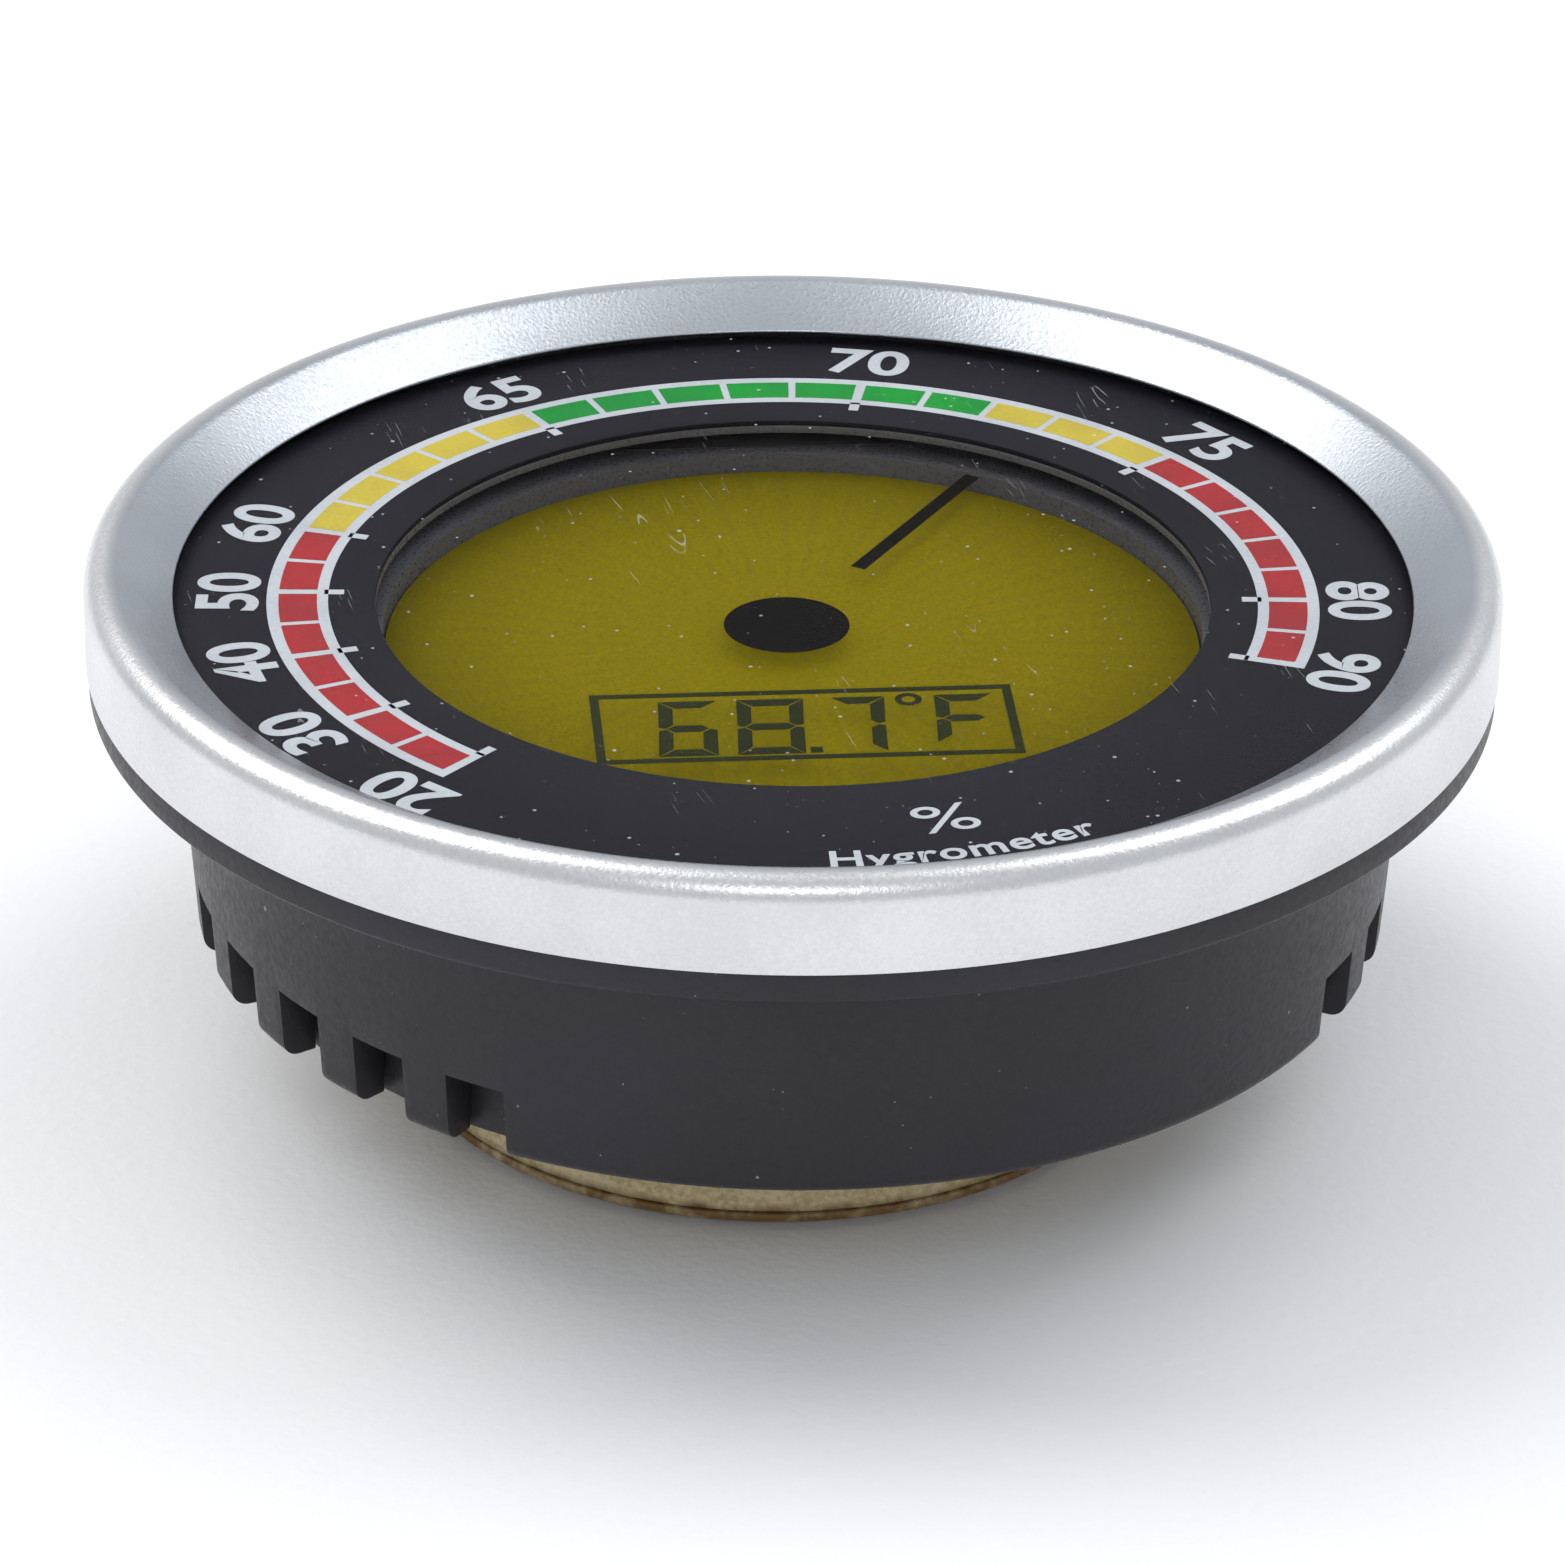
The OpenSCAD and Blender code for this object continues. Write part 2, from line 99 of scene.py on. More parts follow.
def placeCamera(plan):
    az = math.radians(plan["azimuth"])
    el = math.radians(plan["elevation"])
    roll = math.radians(plan["roll"])
    target = Vector((0, 0, bezelFoot * mm))
    back = Vector((math.sin(az) * math.cos(el), -math.cos(az) * math.cos(el), math.sin(el)))
    eye = target + back * plan["distance"] * faceRadius
    right = Vector((math.cos(az), math.sin(az), 0))
    up = back.cross(right)
    aim = target + right * plan["aimRight"] * faceRadius + up * plan["aimUp"] * faceRadius
    back = (eye - aim).normalized()
    right = Vector((0, 0, 1)).cross(back).normalized()
    up = back.cross(right)
    right, up = right * math.cos(roll) + up * math.sin(roll), up * math.cos(roll) - right * math.sin(roll)
    camera = bpy.data.objects.new("camera", bpy.data.cameras.new("camera"))
    camera.data.lens = plan["lens"]
    camera.data.sensor_width = plan["sensor"]
    camera.data.clip_start = plan["nearest"]
    camera.data.clip_end = plan["farthest"]
    turn = Matrix((right, up, back)).transposed()
    camera.matrix_world = Matrix.Translation(eye) @ turn.to_4x4()
    scene.collection.objects.link(camera)
    scene.camera = camera


placeCamera(cameraPlan)
scene.view_settings.view_transform = "Standard"
print("camera placed")


def socketType(value):
    if isinstance(value, (tuple, list)):
        return "NodeSocketColor" if len(value) == 4 else "NodeSocketVector"
    return "NodeSocketFloat"


def addNode(tree, kind, inputs=None, **settings):
    node = tree.nodes.new(kind)
    for key, value in settings.items():
        setattr(node, key, value)
    for key, value in (inputs or {}).items():
        socket = node.inputs[key]
        if isinstance(value, bpy.types.NodeSocket):
            tree.links.new(value, socket)
        else:
            socket.default_value = value
    return node


def startGroup(name, inputs, outputs):
    tree = bpy.data.node_groups.new(name, "ShaderNodeTree")
    for key, value in inputs.items():
        socket = tree.interface.new_socket(name=key, in_out="INPUT", socket_type=socketType(value))
        socket.default_value = value
    for key, kind in outputs.items():
        tree.interface.new_socket(name=key, in_out="OUTPUT", socket_type=kind)
    return tree, tree.nodes.new("NodeGroupInput"), tree.nodes.new("NodeGroupOutput")


def objectPoint(tree):
    return tree.nodes.new("ShaderNodeTexCoord").outputs["Object"]


def mathNode(tree, operation, *values, **settings):
    # one step of arithmetic on values or sockets
    node = addNode(tree, "ShaderNodeMath", dict(enumerate(values)), operation=operation, **settings)
    return node.outputs[0]


def mixColours(tree, factor, first, second):
    mix = addNode(tree, "ShaderNodeMix", {"Factor": factor, "A": first, "B": second}, data_type="RGBA")
    return mix.outputs["Result"]


def axisDistance(tree, split):
    # how far a point lies from the object's axis, from its separated coordinates
    flat = addNode(tree, "ShaderNodeCombineXYZ", {"X": split.outputs["X"], "Y": split.outputs["Y"], "Z": 0.0})
    return addNode(tree, "ShaderNodeVectorMath", {0: flat.outputs[0]}, operation="LENGTH").outputs["Value"]


# the span of a noise's values that is spread over 0 to 1
noiseLow, noiseHigh = 0.3, 0.7


def buildFineGrain():
    # even grain of one size, as a level for roughness and a height for bump
    tree, given, result = startGroup(
        "fineGrain", {"Scale": 3000.0, "Soft": 0.5}, {"Level": "NodeSocketFloat", "Height": "NodeSocketFloat"}
    )
    fine = addNode(tree, "ShaderNodeTexNoise", {
        "Vector": objectPoint(tree), "Scale": given.outputs["Scale"], "Detail": 3.0,
        "Roughness": given.outputs["Soft"],
    })
    spread = addNode(tree, "ShaderNodeMapRange", {
        "Value": fine.outputs["Fac"], "From Min": noiseLow, "From Max": noiseHigh,
    })
    tree.links.new(spread.outputs["Result"], result.inputs["Level"])
    tree.links.new(fine.outputs["Fac"], result.inputs["Height"])
    return tree


def buildToneDrift():
    # two close colours that drift into each other, with a finer mottle on top
    tree, given, result = startGroup(
        "toneDrift",
        {"Base": (0.5, 0.5, 0.5, 1), "Drift": (0.4, 0.4, 0.4, 1), "Scale": 60.0, "Mottle": 0.2,
         "Mottle Scale": 2500.0},
        {"Color": "NodeSocketColor"},
    )
    point = objectPoint(tree)
    slow = addNode(tree, "ShaderNodeTexNoise", {
        "Vector": point, "Scale": given.outputs["Scale"], "Detail": 4.0,
    })
    fine = addNode(tree, "ShaderNodeTexNoise", {
        "Vector": point, "Scale": given.outputs["Mottle Scale"], "Detail": 2.0, "Roughness": 0.6,
    })
    ease = addNode(tree, "ShaderNodeMapRange", {
        "Value": slow.outputs["Fac"], "From Min": 0.35, "From Max": 0.65,
    })
    wide = addNode(tree, "ShaderNodeMapRange", {
        "Value": fine.outputs["Fac"], "From Min": noiseLow, "From Max": noiseHigh,
    })
    centred = mathNode(tree, "SUBTRACT", wide.outputs["Result"], 0.5)
    weighed = mathNode(tree, "MULTIPLY", centred, given.outputs["Mottle"])
    total = mathNode(tree, "ADD", ease.outputs["Result"], weighed, use_clamp=True)
    mix = mixColours(tree, total, given.outputs["Base"], given.outputs["Drift"])
    tree.links.new(mix, result.inputs["Color"])
    return tree


dustPlan = {
    "layers": ((1.0, 1.0), (2.6, 0.8)),  # density and size of the coarse and the fine specks
    "speck": 0.15,
    "edge": 0.05,
    "hairStretch": (900.0, 60.0, 1.0),
    "hairTurn": 0.5,
    "hairWidth": 0.006,
    "patchScale": 320.0,
    "patchFrom": 0.66,
    "patchTo": 0.72,
}


def buildDust(plan):
    # round specks of differing size, sparse, and a few short hairlines
    tree, given, result = startGroup(
        "dust", {"Scale": 700.0, "Amount": 0.06, "Hairs": 0.5}, {"Mask": "NodeSocketFloat"}
    )
    point = objectPoint(tree)
    masks = []
    for density, share in plan["layers"]:
        scale = mathNode(tree, "MULTIPLY", given.outputs["Scale"], density)
        cells = addNode(tree, "ShaderNodeTexVoronoi", {"Vector": point, "Scale": scale})
        chance = addNode(tree, "ShaderNodeSeparateColor", {"Color": cells.outputs["Color"]})
        size = addNode(tree, "ShaderNodeMapRange", {
            "Value": chance.outputs["Red"], "From Min": 0.0, "From Max": given.outputs["Amount"],
            "To Min": plan["speck"] * share, "To Max": 0.0,
        })
        edge = mathNode(tree, "SUBTRACT", size.outputs["Result"], cells.outputs["Distance"])
        masks.append(addNode(tree, "ShaderNodeMapRange", {
            "Value": edge, "From Min": 0.0, "From Max": plan["edge"],
        }))
    both = mathNode(tree, "MAXIMUM", masks[0].outputs["Result"], masks[1].outputs["Result"])
    # hairlines: a thin band of a stretched noise, kept only in a few places
    stretched = addNode(tree, "ShaderNodeMapping", {
        "Vector": point, "Scale": plan["hairStretch"], "Rotation": (0.0, 0.0, plan["hairTurn"]),
    })
    line = addNode(tree, "ShaderNodeTexNoise", {"Vector": stretched.outputs[0], "Scale": 1.0, "Detail": 0.0})
    near = mathNode(tree, "COMPARE", line.outputs["Fac"], 0.5, plan["hairWidth"])
    where = addNode(tree, "ShaderNodeTexNoise", {"Vector": point, "Scale": plan["patchScale"], "Detail": 1.0})
    few = addNode(tree, "ShaderNodeMapRange", {
        "Value": where.outputs["Fac"], "From Min": plan["patchFrom"], "From Max": plan["patchTo"],
    })
    hair = mathNode(tree, "MULTIPLY", near, few.outputs["Result"])
    thin = mathNode(tree, "MULTIPLY", hair, given.outputs["Hairs"])
    total = mathNode(tree, "ADD", both, thin, use_clamp=True)
    tree.links.new(total, result.inputs["Mask"])
    return tree


fineGrain = buildFineGrain()
toneDrift = buildToneDrift()
dust = buildDust(dustPlan)


def useGroup(tree, group, **inputs):
    node = tree.nodes.new("ShaderNodeGroup")
    node.node_tree = group
    for key, value in inputs.items():
        socket = node.inputs[key.replace("_", " ")]
        if isinstance(value, bpy.types.NodeSocket):
            tree.links.new(value, socket)
        else:
            socket.default_value = value
    return node


def startMaterial(name):
    material = bpy.data.materials.new(name)
    material.use_nodes = True
    tree = material.node_tree
    return material, tree, tree.nodes["Principled BSDF"]


def addBump(tree, shader, height, distance):
    bump = addNode(tree, "ShaderNodeBump", {"Height": height, "Strength": 1.0, "Distance": distance})
    tree.links.new(bump.outputs["Normal"], shader.inputs["Normal"])


mouldedDust = {"scale": 900.0, "weight": 0.35, "colour": (0.6, 0.6, 0.58, 1)}


def moulded(name, base, drift, rough, grain=3000.0, depth=0.02, spread=0.06, metallic=0.0, slow=60.0,
            mottle=0.2, mottleScale=2500.0, specular=0.5, dustAmount=0.0):
    # a solid finish: drifting colour, grain in the roughness and a fine bump
    material, tree, shader = startMaterial(name)
    tone = useGroup(tree, toneDrift, Base=(*base, 1), Drift=(*drift, 1), Scale=slow, Mottle=mottle,
                    Mottle_Scale=mottleScale)
    colour = tone.outputs["Color"]
    if dustAmount:
        specks = useGroup(tree, dust, Scale=mouldedDust["scale"], Amount=dustAmount, Hairs=0.0)
        weight = mathNode(tree, "MULTIPLY", specks.outputs["Mask"], mouldedDust["weight"])
        colour = mixColours(tree, weight, colour, mouldedDust["colour"])
    tree.links.new(colour, shader.inputs["Base Color"])
    grainNode = useGroup(tree, fineGrain, Scale=grain)
    level = addNode(tree, "ShaderNodeMapRange", {
        "Value": grainNode.outputs["Level"], "To Min": rough - spread, "To Max": rough + spread,
    })
    tree.links.new(level.outputs["Result"], shader.inputs["Roughness"])
    shader.inputs["Metallic"].default_value = metallic
    shader.inputs["Specular IOR Level"].default_value = specular
    addBump(tree, shader, grainNode.outputs["Height"], depth * mm)
    return material


scaleBlack = moulded("scaleBlack", (0.0075, 0.0072, 0.0115), (0.010, 0.0095, 0.0145), 0.6, grain=4200.0,
                     depth=0.01, mottle=0.8, mottleScale=3600.0, specular=0.12)
inkFinish = {
    "grain": 4200.0, "depth": 0.006, "slow": 300.0, "mottle": 0.8, "mottleScale": 4200.0, "specular": 0.12,
}
printWhite = moulded("printWhite", (0.50, 0.53, 0.56), (0.44, 0.465, 0.495), 0.5, **inkFinish)
printRed = moulded("printRed", (0.37, 0.024, 0.028), (0.28, 0.026, 0.030), 0.5, **inkFinish)
printYellow = moulded("printYellow", (0.54, 0.43, 0.05), (0.46, 0.365, 0.05), 0.5, **inkFinish)
printGreen = moulded("printGreen", (0.004, 0.28, 0.028), (0.006, 0.215, 0.032), 0.5, **inkFinish)
windowWall = moulded("windowWall", (0.095, 0.093, 0.106), (0.11, 0.108, 0.118), 0.3, grain=5200.0,
                     depth=0.002, mottle=0.12)
displayInk = moulded("displayInk", (0.022, 0.027, 0.010), (0.032, 0.036, 0.012), 0.6, specular=0.03,
                     mottle=0.8, mottleScale=4200.0)
hubInk = moulded("hubInk", (0.006, 0.005, 0.0045), (0.010, 0.009, 0.007), 0.6, specular=0.03, grain=4200.0)
housingBlack = moulded("housingBlack", (0.0125, 0.0105, 0.014), (0.018, 0.0155, 0.020), 0.42, grain=2600.0,
                       depth=0.02, spread=0.08, mottle=0.6, mottleScale=3200.0, specular=0.35,
                       dustAmount=0.12)
foamWhite = moulded("foamWhite", (0.74, 0.74, 0.71), (0.66, 0.66, 0.62), 0.85, grain=1800.0, depth=0.08,
                    mottle=0.6)
padGrey = moulded("padGrey", (0.50, 0.60, 0.58), (0.42, 0.50, 0.49), 0.8, grain=2400.0, depth=0.04,
                  mottle=0.6)
zebraRubber = moulded("zebraRubber", (0.045, 0.040, 0.044), (0.06, 0.052, 0.056), 0.6, depth=0.02)
boardGreen = moulded("boardGreen", (0.02, 0.15, 0.06), (0.015, 0.12, 0.05), 0.35, depth=0.01, mottle=0.5)
epoxyBlack = moulded("epoxyBlack", (0.016, 0.016, 0.017), (0.024, 0.024, 0.025), 0.22, depth=0.006,
                     mottle=0.4)
platedSteel = moulded("platedSteel", (0.66, 0.66, 0.67), (0.58, 0.58, 0.60), 0.3, depth=0.008, metallic=1.0,
                      mottle=0.4)
sensorWhite = moulded("sensorWhite", (0.70, 0.70, 0.66), (0.62, 0.62, 0.58), 0.6, depth=0.01)
ceramicTan = moulded("ceramicTan", (0.38, 0.30, 0.20), (0.30, 0.24, 0.16), 0.5, depth=0.01, mottle=0.5)
filterWhite = moulded("filterWhite", (0.82, 0.82, 0.82), (0.74, 0.74, 0.75), 0.9, grain=5000.0, depth=0.05,
                      mottle=0.5)
goldContact = moulded("goldContact", (0.80, 0.60, 0.26), (0.70, 0.52, 0.22), 0.28, depth=0.006,
                      metallic=1.0)
sealBlack = moulded("sealBlack", (0.018, 0.018, 0.018), (0.028, 0.028, 0.028), 0.65, depth=0.02)
ferriteGrey = moulded("ferriteGrey", (0.07, 0.07, 0.075), (0.10, 0.10, 0.105), 0.55, depth=0.03, mottle=0.7)
buttonGrey = moulded("buttonGrey", (0.07, 0.07, 0.075), (0.09, 0.09, 0.095), 0.5, depth=0.02)


# painted shade: the dish colours below are darker and bluer than the wall, standing in for the dim reflection
# the dish shows
dishShadePlan = {
    "starts": 1.6,  # in from the outer wall
    "ends": 1.0,
    "base": (0.47, 0.495, 0.525, 1),
    "drift": (0.41, 0.435, 0.465, 1),
    "slow": 120.0,
    "mottle": 0.9,
    "mottleScale": 5200.0,
}


def makeSatinBezel(plan):
    # the dish is painted a shade darker and bluer than the turned wall and shoulder: painted shade that
    # stands in for the dimmer reflection it shows
    material = moulded("satinBezel", (0.72, 0.72, 0.72), (0.65, 0.65, 0.66), 0.32, grain=5200.0, depth=0.02,
                       spread=0.07, metallic=1.0, slow=120.0, mottle=0.8, mottleScale=4200.0)
    tree = material.node_tree
    shader = tree.nodes["Principled BSDF"]
    bright = shader.inputs["Base Color"].links[0].from_socket
    split = addNode(tree, "ShaderNodeSeparateXYZ", {"Vector": objectPoint(tree)})
    dishShadeMask = addNode(tree, "ShaderNodeMapRange", {
        "Value": axisDistance(tree, split),
        "From Min": faceRadius - plan["starts"] * mm, "From Max": faceRadius - plan["ends"] * mm,
        "To Min": 1.0, "To Max": 0.0,
    })
    # painted shade: the darker, bluer dish colour
    paintedDishShade = useGroup(tree, toneDrift, Base=plan["base"], Drift=plan["drift"], Scale=plan["slow"],
                       Mottle=plan["mottle"], Mottle_Scale=plan["mottleScale"])
    tree.links.new(mixColours(tree, dishShadeMask.outputs["Result"], bright, paintedDishShade.outputs["Color"]),
                   shader.inputs["Base Color"])
    return material


stainPlan = {"height": 0.8, "strength": 0.9, "scale": 900.0, "from": 0.15, "to": 0.5,
             "colour": (0.20, 0.11, 0.035, 1)}


def makePassivated(plan):
    # yellow passivated steel: speckled, with a rusty stain close to the lower edge
    material = moulded("yellowSteel", (0.74, 0.62, 0.38), (0.52, 0.41, 0.21), 0.45, grain=2600.0, depth=0.03,
                       metallic=0.2, slow=260.0, mottle=1.4, mottleScale=3000.0)
    tree = material.node_tree
    shader = tree.nodes["Principled BSDF"]
    plain = shader.inputs["Base Color"].links[0].from_socket
    height = addNode(tree, "ShaderNodeSeparateXYZ", {"Vector": objectPoint(tree)})
    low = spanOf("magnet_cup")[0]
    band = addNode(tree, "ShaderNodeMapRange", {
        "Value": height.outputs["Z"], "From Min": low * mm, "From Max": (low + plan["height"]) * mm,
        "To Min": plan["strength"], "To Max": 0.0,
    })
    ragged = addNode(tree, "ShaderNodeTexNoise", {
        "Vector": objectPoint(tree), "Scale": plan["scale"], "Detail": 4.0,
    })
    rough = mathNode(tree, "MULTIPLY", ragged.outputs["Fac"], band.outputs["Result"])
    stain = addNode(tree, "ShaderNodeMapRange", {
        "Value": rough, "From Min": plan["from"], "From Max": plan["to"],
    })
    stained = mixColours(tree, stain.outputs["Result"], plain, plan["colour"])
    tree.links.new(stained, shader.inputs["Base Color"])
    return material


# painted shade: the film's colour darkens from the middle to the rim, where the window wall shades it
filmPlan = {
    "edge": (0.150, 0.119, 0.0003, 1),
    "middle": (0.200, 0.161, 0.0005, 1),
    "unshadedShare": 0.55,  # of the radius
    # faint rays: the unlit hands and their painted shadow on the film
    "unlitHandAndShadow": (0.05, 0.05, 0.02, 1),
    "rays": 60,
    "raysFrom": 7.5,
    "rayLow": 0.55,
    "rayHigh": 0.75,
    "rayWeight": 0.06,
    "grain": 5200.0,
    "grainDark": 0.78,
    "grainLight": 1.22,
    "depth": 0.01,
}


def makeOliveFilm(plan):
    # reflector of the display: olive, with painted shade darkening it from the middle out to the rim under
    # the window wall, and faint rays of the unlit hands with their painted shadow
    material, tree, shader = startMaterial("oliveFilm")
    point = objectPoint(tree)
    split = addNode(tree, "ShaderNodeSeparateXYZ", {"Vector": point})
    reach = axisDistance(tree, split)
    radius = radiusOf("lcd_reflector") * mm
    # painted shade: darker towards the rim under the window wall
    middle = addNode(tree, "ShaderNodeMapRange", {
        "Value": reach, "From Min": radius * plan["unshadedShare"], "From Max": radius,
        "To Min": 1.0, "To Max": 0.0,
    }, interpolation_type="SMOOTHSTEP")
    body = mixColours(tree, middle.outputs["Result"], plan["edge"], plan["middle"])
    # each ray is a dark crest of a triangle wave around the axis, standing for an unlit hand together with
    # its painted shadow on the film
    angle = mathNode(tree, "ARCTAN2", split.outputs["Y"], split.outputs["X"])
    count = mathNode(tree, "MULTIPLY", angle, 2 * plan["rays"] / math.tau)
    saw = mathNode(tree, "PINGPONG", count, 1.0)
    thin = addNode(tree, "ShaderNodeMapRange", {
        "Value": saw, "From Min": plan["rayLow"], "From Max": plan["rayHigh"],
    })
    outside = mathNode(tree, "GREATER_THAN", reach, plan["raysFrom"] * mm)
    lines = mathNode(tree, "MULTIPLY", thin.outputs["Result"], outside)
    faint = mathNode(tree, "MULTIPLY", lines, plan["rayWeight"])
    rays = mixColours(tree, faint, body, plan["unlitHandAndShadow"])
    speck = addNode(tree, "ShaderNodeTexNoise", {"Vector": point, "Scale": plan["grain"], "Detail": 2.0})
    level = addNode(tree, "ShaderNodeMapRange", {
        "Value": speck.outputs["Fac"], "From Min": noiseLow, "From Max": noiseHigh,
        "To Min": plan["grainDark"], "To Max": plan["grainLight"],
    })
    grainy = addNode(tree, "ShaderNodeVectorMath", {0: rays, "Scale": level.outputs["Result"]},
                     operation="SCALE")
    tree.links.new(grainy.outputs[0], shader.inputs["Base Color"])
    shader.inputs["Roughness"].default_value = 0.8
    shader.inputs["Specular IOR Level"].default_value = 0.05
    addBump(tree, shader, speck.outputs["Fac"], plan["depth"] * mm)
    return material


panePlan = {
    "gloss": 0.04,
    "steepness": 3.0,
    "dust": (0.75, 0.76, 0.78, 1),
    "dustRough": 0.8,
    "dustWeight": 0.42,
}


def makePane(plan, name, shine, dustAmount=0.0, dustScale=0.0):
    # a thin clear pane: light goes straight through, gloss grows to the grazing side, dust lies on it
    material, tree, shader = startMaterial(name)
    clear = tree.nodes.new("ShaderNodeBsdfTransparent")
    gloss = addNode(tree, "ShaderNodeBsdfGlossy", {"Color": (1, 1, 1, 1), "Roughness": plan["gloss"]})
    facing = addNode(tree, "ShaderNodeLayerWeight", {"Blend": 0.5})
    steep = mathNode(tree, "POWER", facing.outputs["Facing"], plan["steepness"])
    rim = mathNode(tree, "MULTIPLY", steep, shine)
    pane = addNode(tree, "ShaderNodeMixShader", {0: rim, 1: clear.outputs[0], 2: gloss.outputs[0]})
    if dustAmount:
        specks = useGroup(tree, dust, Scale=dustScale, Amount=dustAmount)
        shader.inputs["Base Color"].default_value = plan["dust"]
        shader.inputs["Roughness"].default_value = plan["dustRough"]
        weight = mathNode(tree, "MULTIPLY", specks.outputs["Mask"], plan["dustWeight"])
        pane = addNode(tree, "ShaderNodeMixShader", {
            0: weight, 1: pane.outputs[0], 2: shader.outputs[0],
        })
    else:
        tree.nodes.remove(shader)
    tree.links.new(pane.outputs[0], tree.nodes["Material Output"].inputs["Surface"])
    return material


satinBezel = makeSatinBezel(dishShadePlan)
yellowSteel = makePassivated(stainPlan)
oliveFilm = makeOliveFilm(filmPlan)
dustyLens = makePane(panePlan, "dustyLens", 0.012, dustAmount=0.36, dustScale=1150.0)
displayGlass = makePane(panePlan, "displayGlass", 0.005)
print("finishes made")


def arcPoints(centre, radius, start, end, steps):
    # points of an arc in the plane of a turned outline, degrees
    return [
        (centre[0] + radius * math.cos(math.radians(start + (end - start) * i / steps)),
         centre[1] + radius * math.sin(math.radians(start + (end - start) * i / steps)))
        for i in range(steps + 1)
    ]


def cornerTurn(vert):
    first, second = (edge.other_vert(vert).co - vert.co for edge in vert.link_edges)
    return math.pi - first.angle(second)


onAxis = 0.01 * mm
weld = 0.0005 * mm
roundAbove = math.radians(35)
smoothBelow = math.radians(30)


def turnedBmesh(outline, rounding=0.08, steps=192):
    # a closed outline of (radius, height) in millimetres, its sharp corners rounded, spun about the axis
    bm = bmesh.new()
    verts = [bm.verts.new((r * mm, 0, z * mm)) for r, z in outline]
    bm.faces.new(verts)
    sharp = [v for v in verts if v.co.x > onAxis and cornerTurn(v) > roundAbove]
    if rounding:
        bmesh.ops.bevel(bm, geom=sharp, offset=rounding * mm, offset_type="OFFSET", segments=3, profile=0.5,
                        affect="VERTICES", material=-1)
    bmesh.ops.delete(bm, geom=bm.faces[:], context="FACES_ONLY")
    for edge in [e for e in bm.edges if all(v.co.x < onAxis for v in e.verts)]:
        bm.edges.remove(edge)
    bmesh.ops.spin(bm, geom=bm.verts[:] + bm.edges[:], cent=(0, 0, 0), axis=(0, 0, 1), angle=math.tau,
                   steps=steps, use_merge=True)
    bmesh.ops.remove_doubles(bm, verts=bm.verts[:], dist=weld)
    bmesh.ops.recalc_face_normals(bm, faces=bm.faces[:])
    return bm


def moveOnto(bm, node):
    # a turned shape moves to the middle of the node it stands for
    low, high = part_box(node)
    bmesh.ops.translate(bm, verts=bm.verts[:], vec=((low.x + high.x) / 2, (low.y + high.y) / 2, 0))
    return bm


def halfWidthOf(node):
    low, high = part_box(node)
    return max(high.x - low.x, high.y - low.y) / 2 / mm


def finishPiece(name, bm, material, body, replaces=()):
    mesh = bpy.data.meshes.new(name)
    bm.to_mesh(mesh)
    bm.free()
    piece = bpy.data.objects.new(name, mesh)
    scene.collection.objects.link(piece)
    mesh.materials.append(material)
    smoothPiece(piece)
    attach(piece, body)
    if replaces:
        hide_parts(*replaces)
    return piece


def smoothPiece(piece):
    piece.data.shade_smooth()
    piece.data.set_sharp_from_angle(angle=smoothBelow)


def applyModifiers(piece):
    bpy.context.view_layer.update()
    final = bpy.data.meshes.new_from_object(piece.evaluated_get(bpy.context.evaluated_depsgraph_get()))
    piece.modifiers.clear()
    piece.data = final
    smoothPiece(piece)


def ringOutline(outer, inner, low, high):
    return [(inner, low), (outer, low), (outer, high), (inner, high)]


def discOutline(radius, low, high):
    return [(0, low), (radius, low), (radius, high), (0, high)]


sectorStep = 0.7  # degrees


def addSector(bm, inner, outer, start, end, low, high):
    # part of a flat ring between two clock angles, degrees clockwise from 12 o'clock
    steps = max(2, round(abs(end - start) / sectorStep))
    known = set(bm.faces)
    first = math.radians(90 - start)
    verts = [bm.verts.new((r * mm * math.cos(first), r * mm * math.sin(first), low * mm))
             for r in (inner, outer)]
    edge = bm.edges.new(verts)
    bmesh.ops.spin(bm, geom=verts + [edge], cent=(0, 0, 0), axis=(0, 0, -1), angle=math.radians(end - start),
                   steps=steps)
    thicken(bm, [f for f in bm.faces if f not in known], high - low)


def thicken(bm, faces, height):
    grown = bmesh.ops.extrude_face_region(bm, geom=faces, use_keep_orig=True)
    tops = [item for item in grown["geom"] if isinstance(item, bmesh.types.BMVert)]
    bmesh.ops.translate(bm, verts=tops, vec=(0, 0, height * mm))


def addBox(bm, centre, size, turn=0.0):
    place = Matrix.Rotation(turn, 4, "Z") @ Matrix.Translation(Vector(centre) * mm)
    bmesh.ops.create_cube(bm, size=1, matrix=place @ Matrix.Diagonal((*(Vector(size) * mm), 1)))


def bodyOf(node):
    return frame["nodes"][node]["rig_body"]


bezelPlan = {
    "shoulder": 1.25,
    "lip": 30.56,
    "lipDrop": 1.74,  # below the crown
    "pocket": 31.55,
    "collar": 33.85,
    "rounding": 0.06,
    "lensRounding": 0.05,
}
lensLow, lensHigh = spanOf("lens")
housingHigh = spanOf("housing")[1]


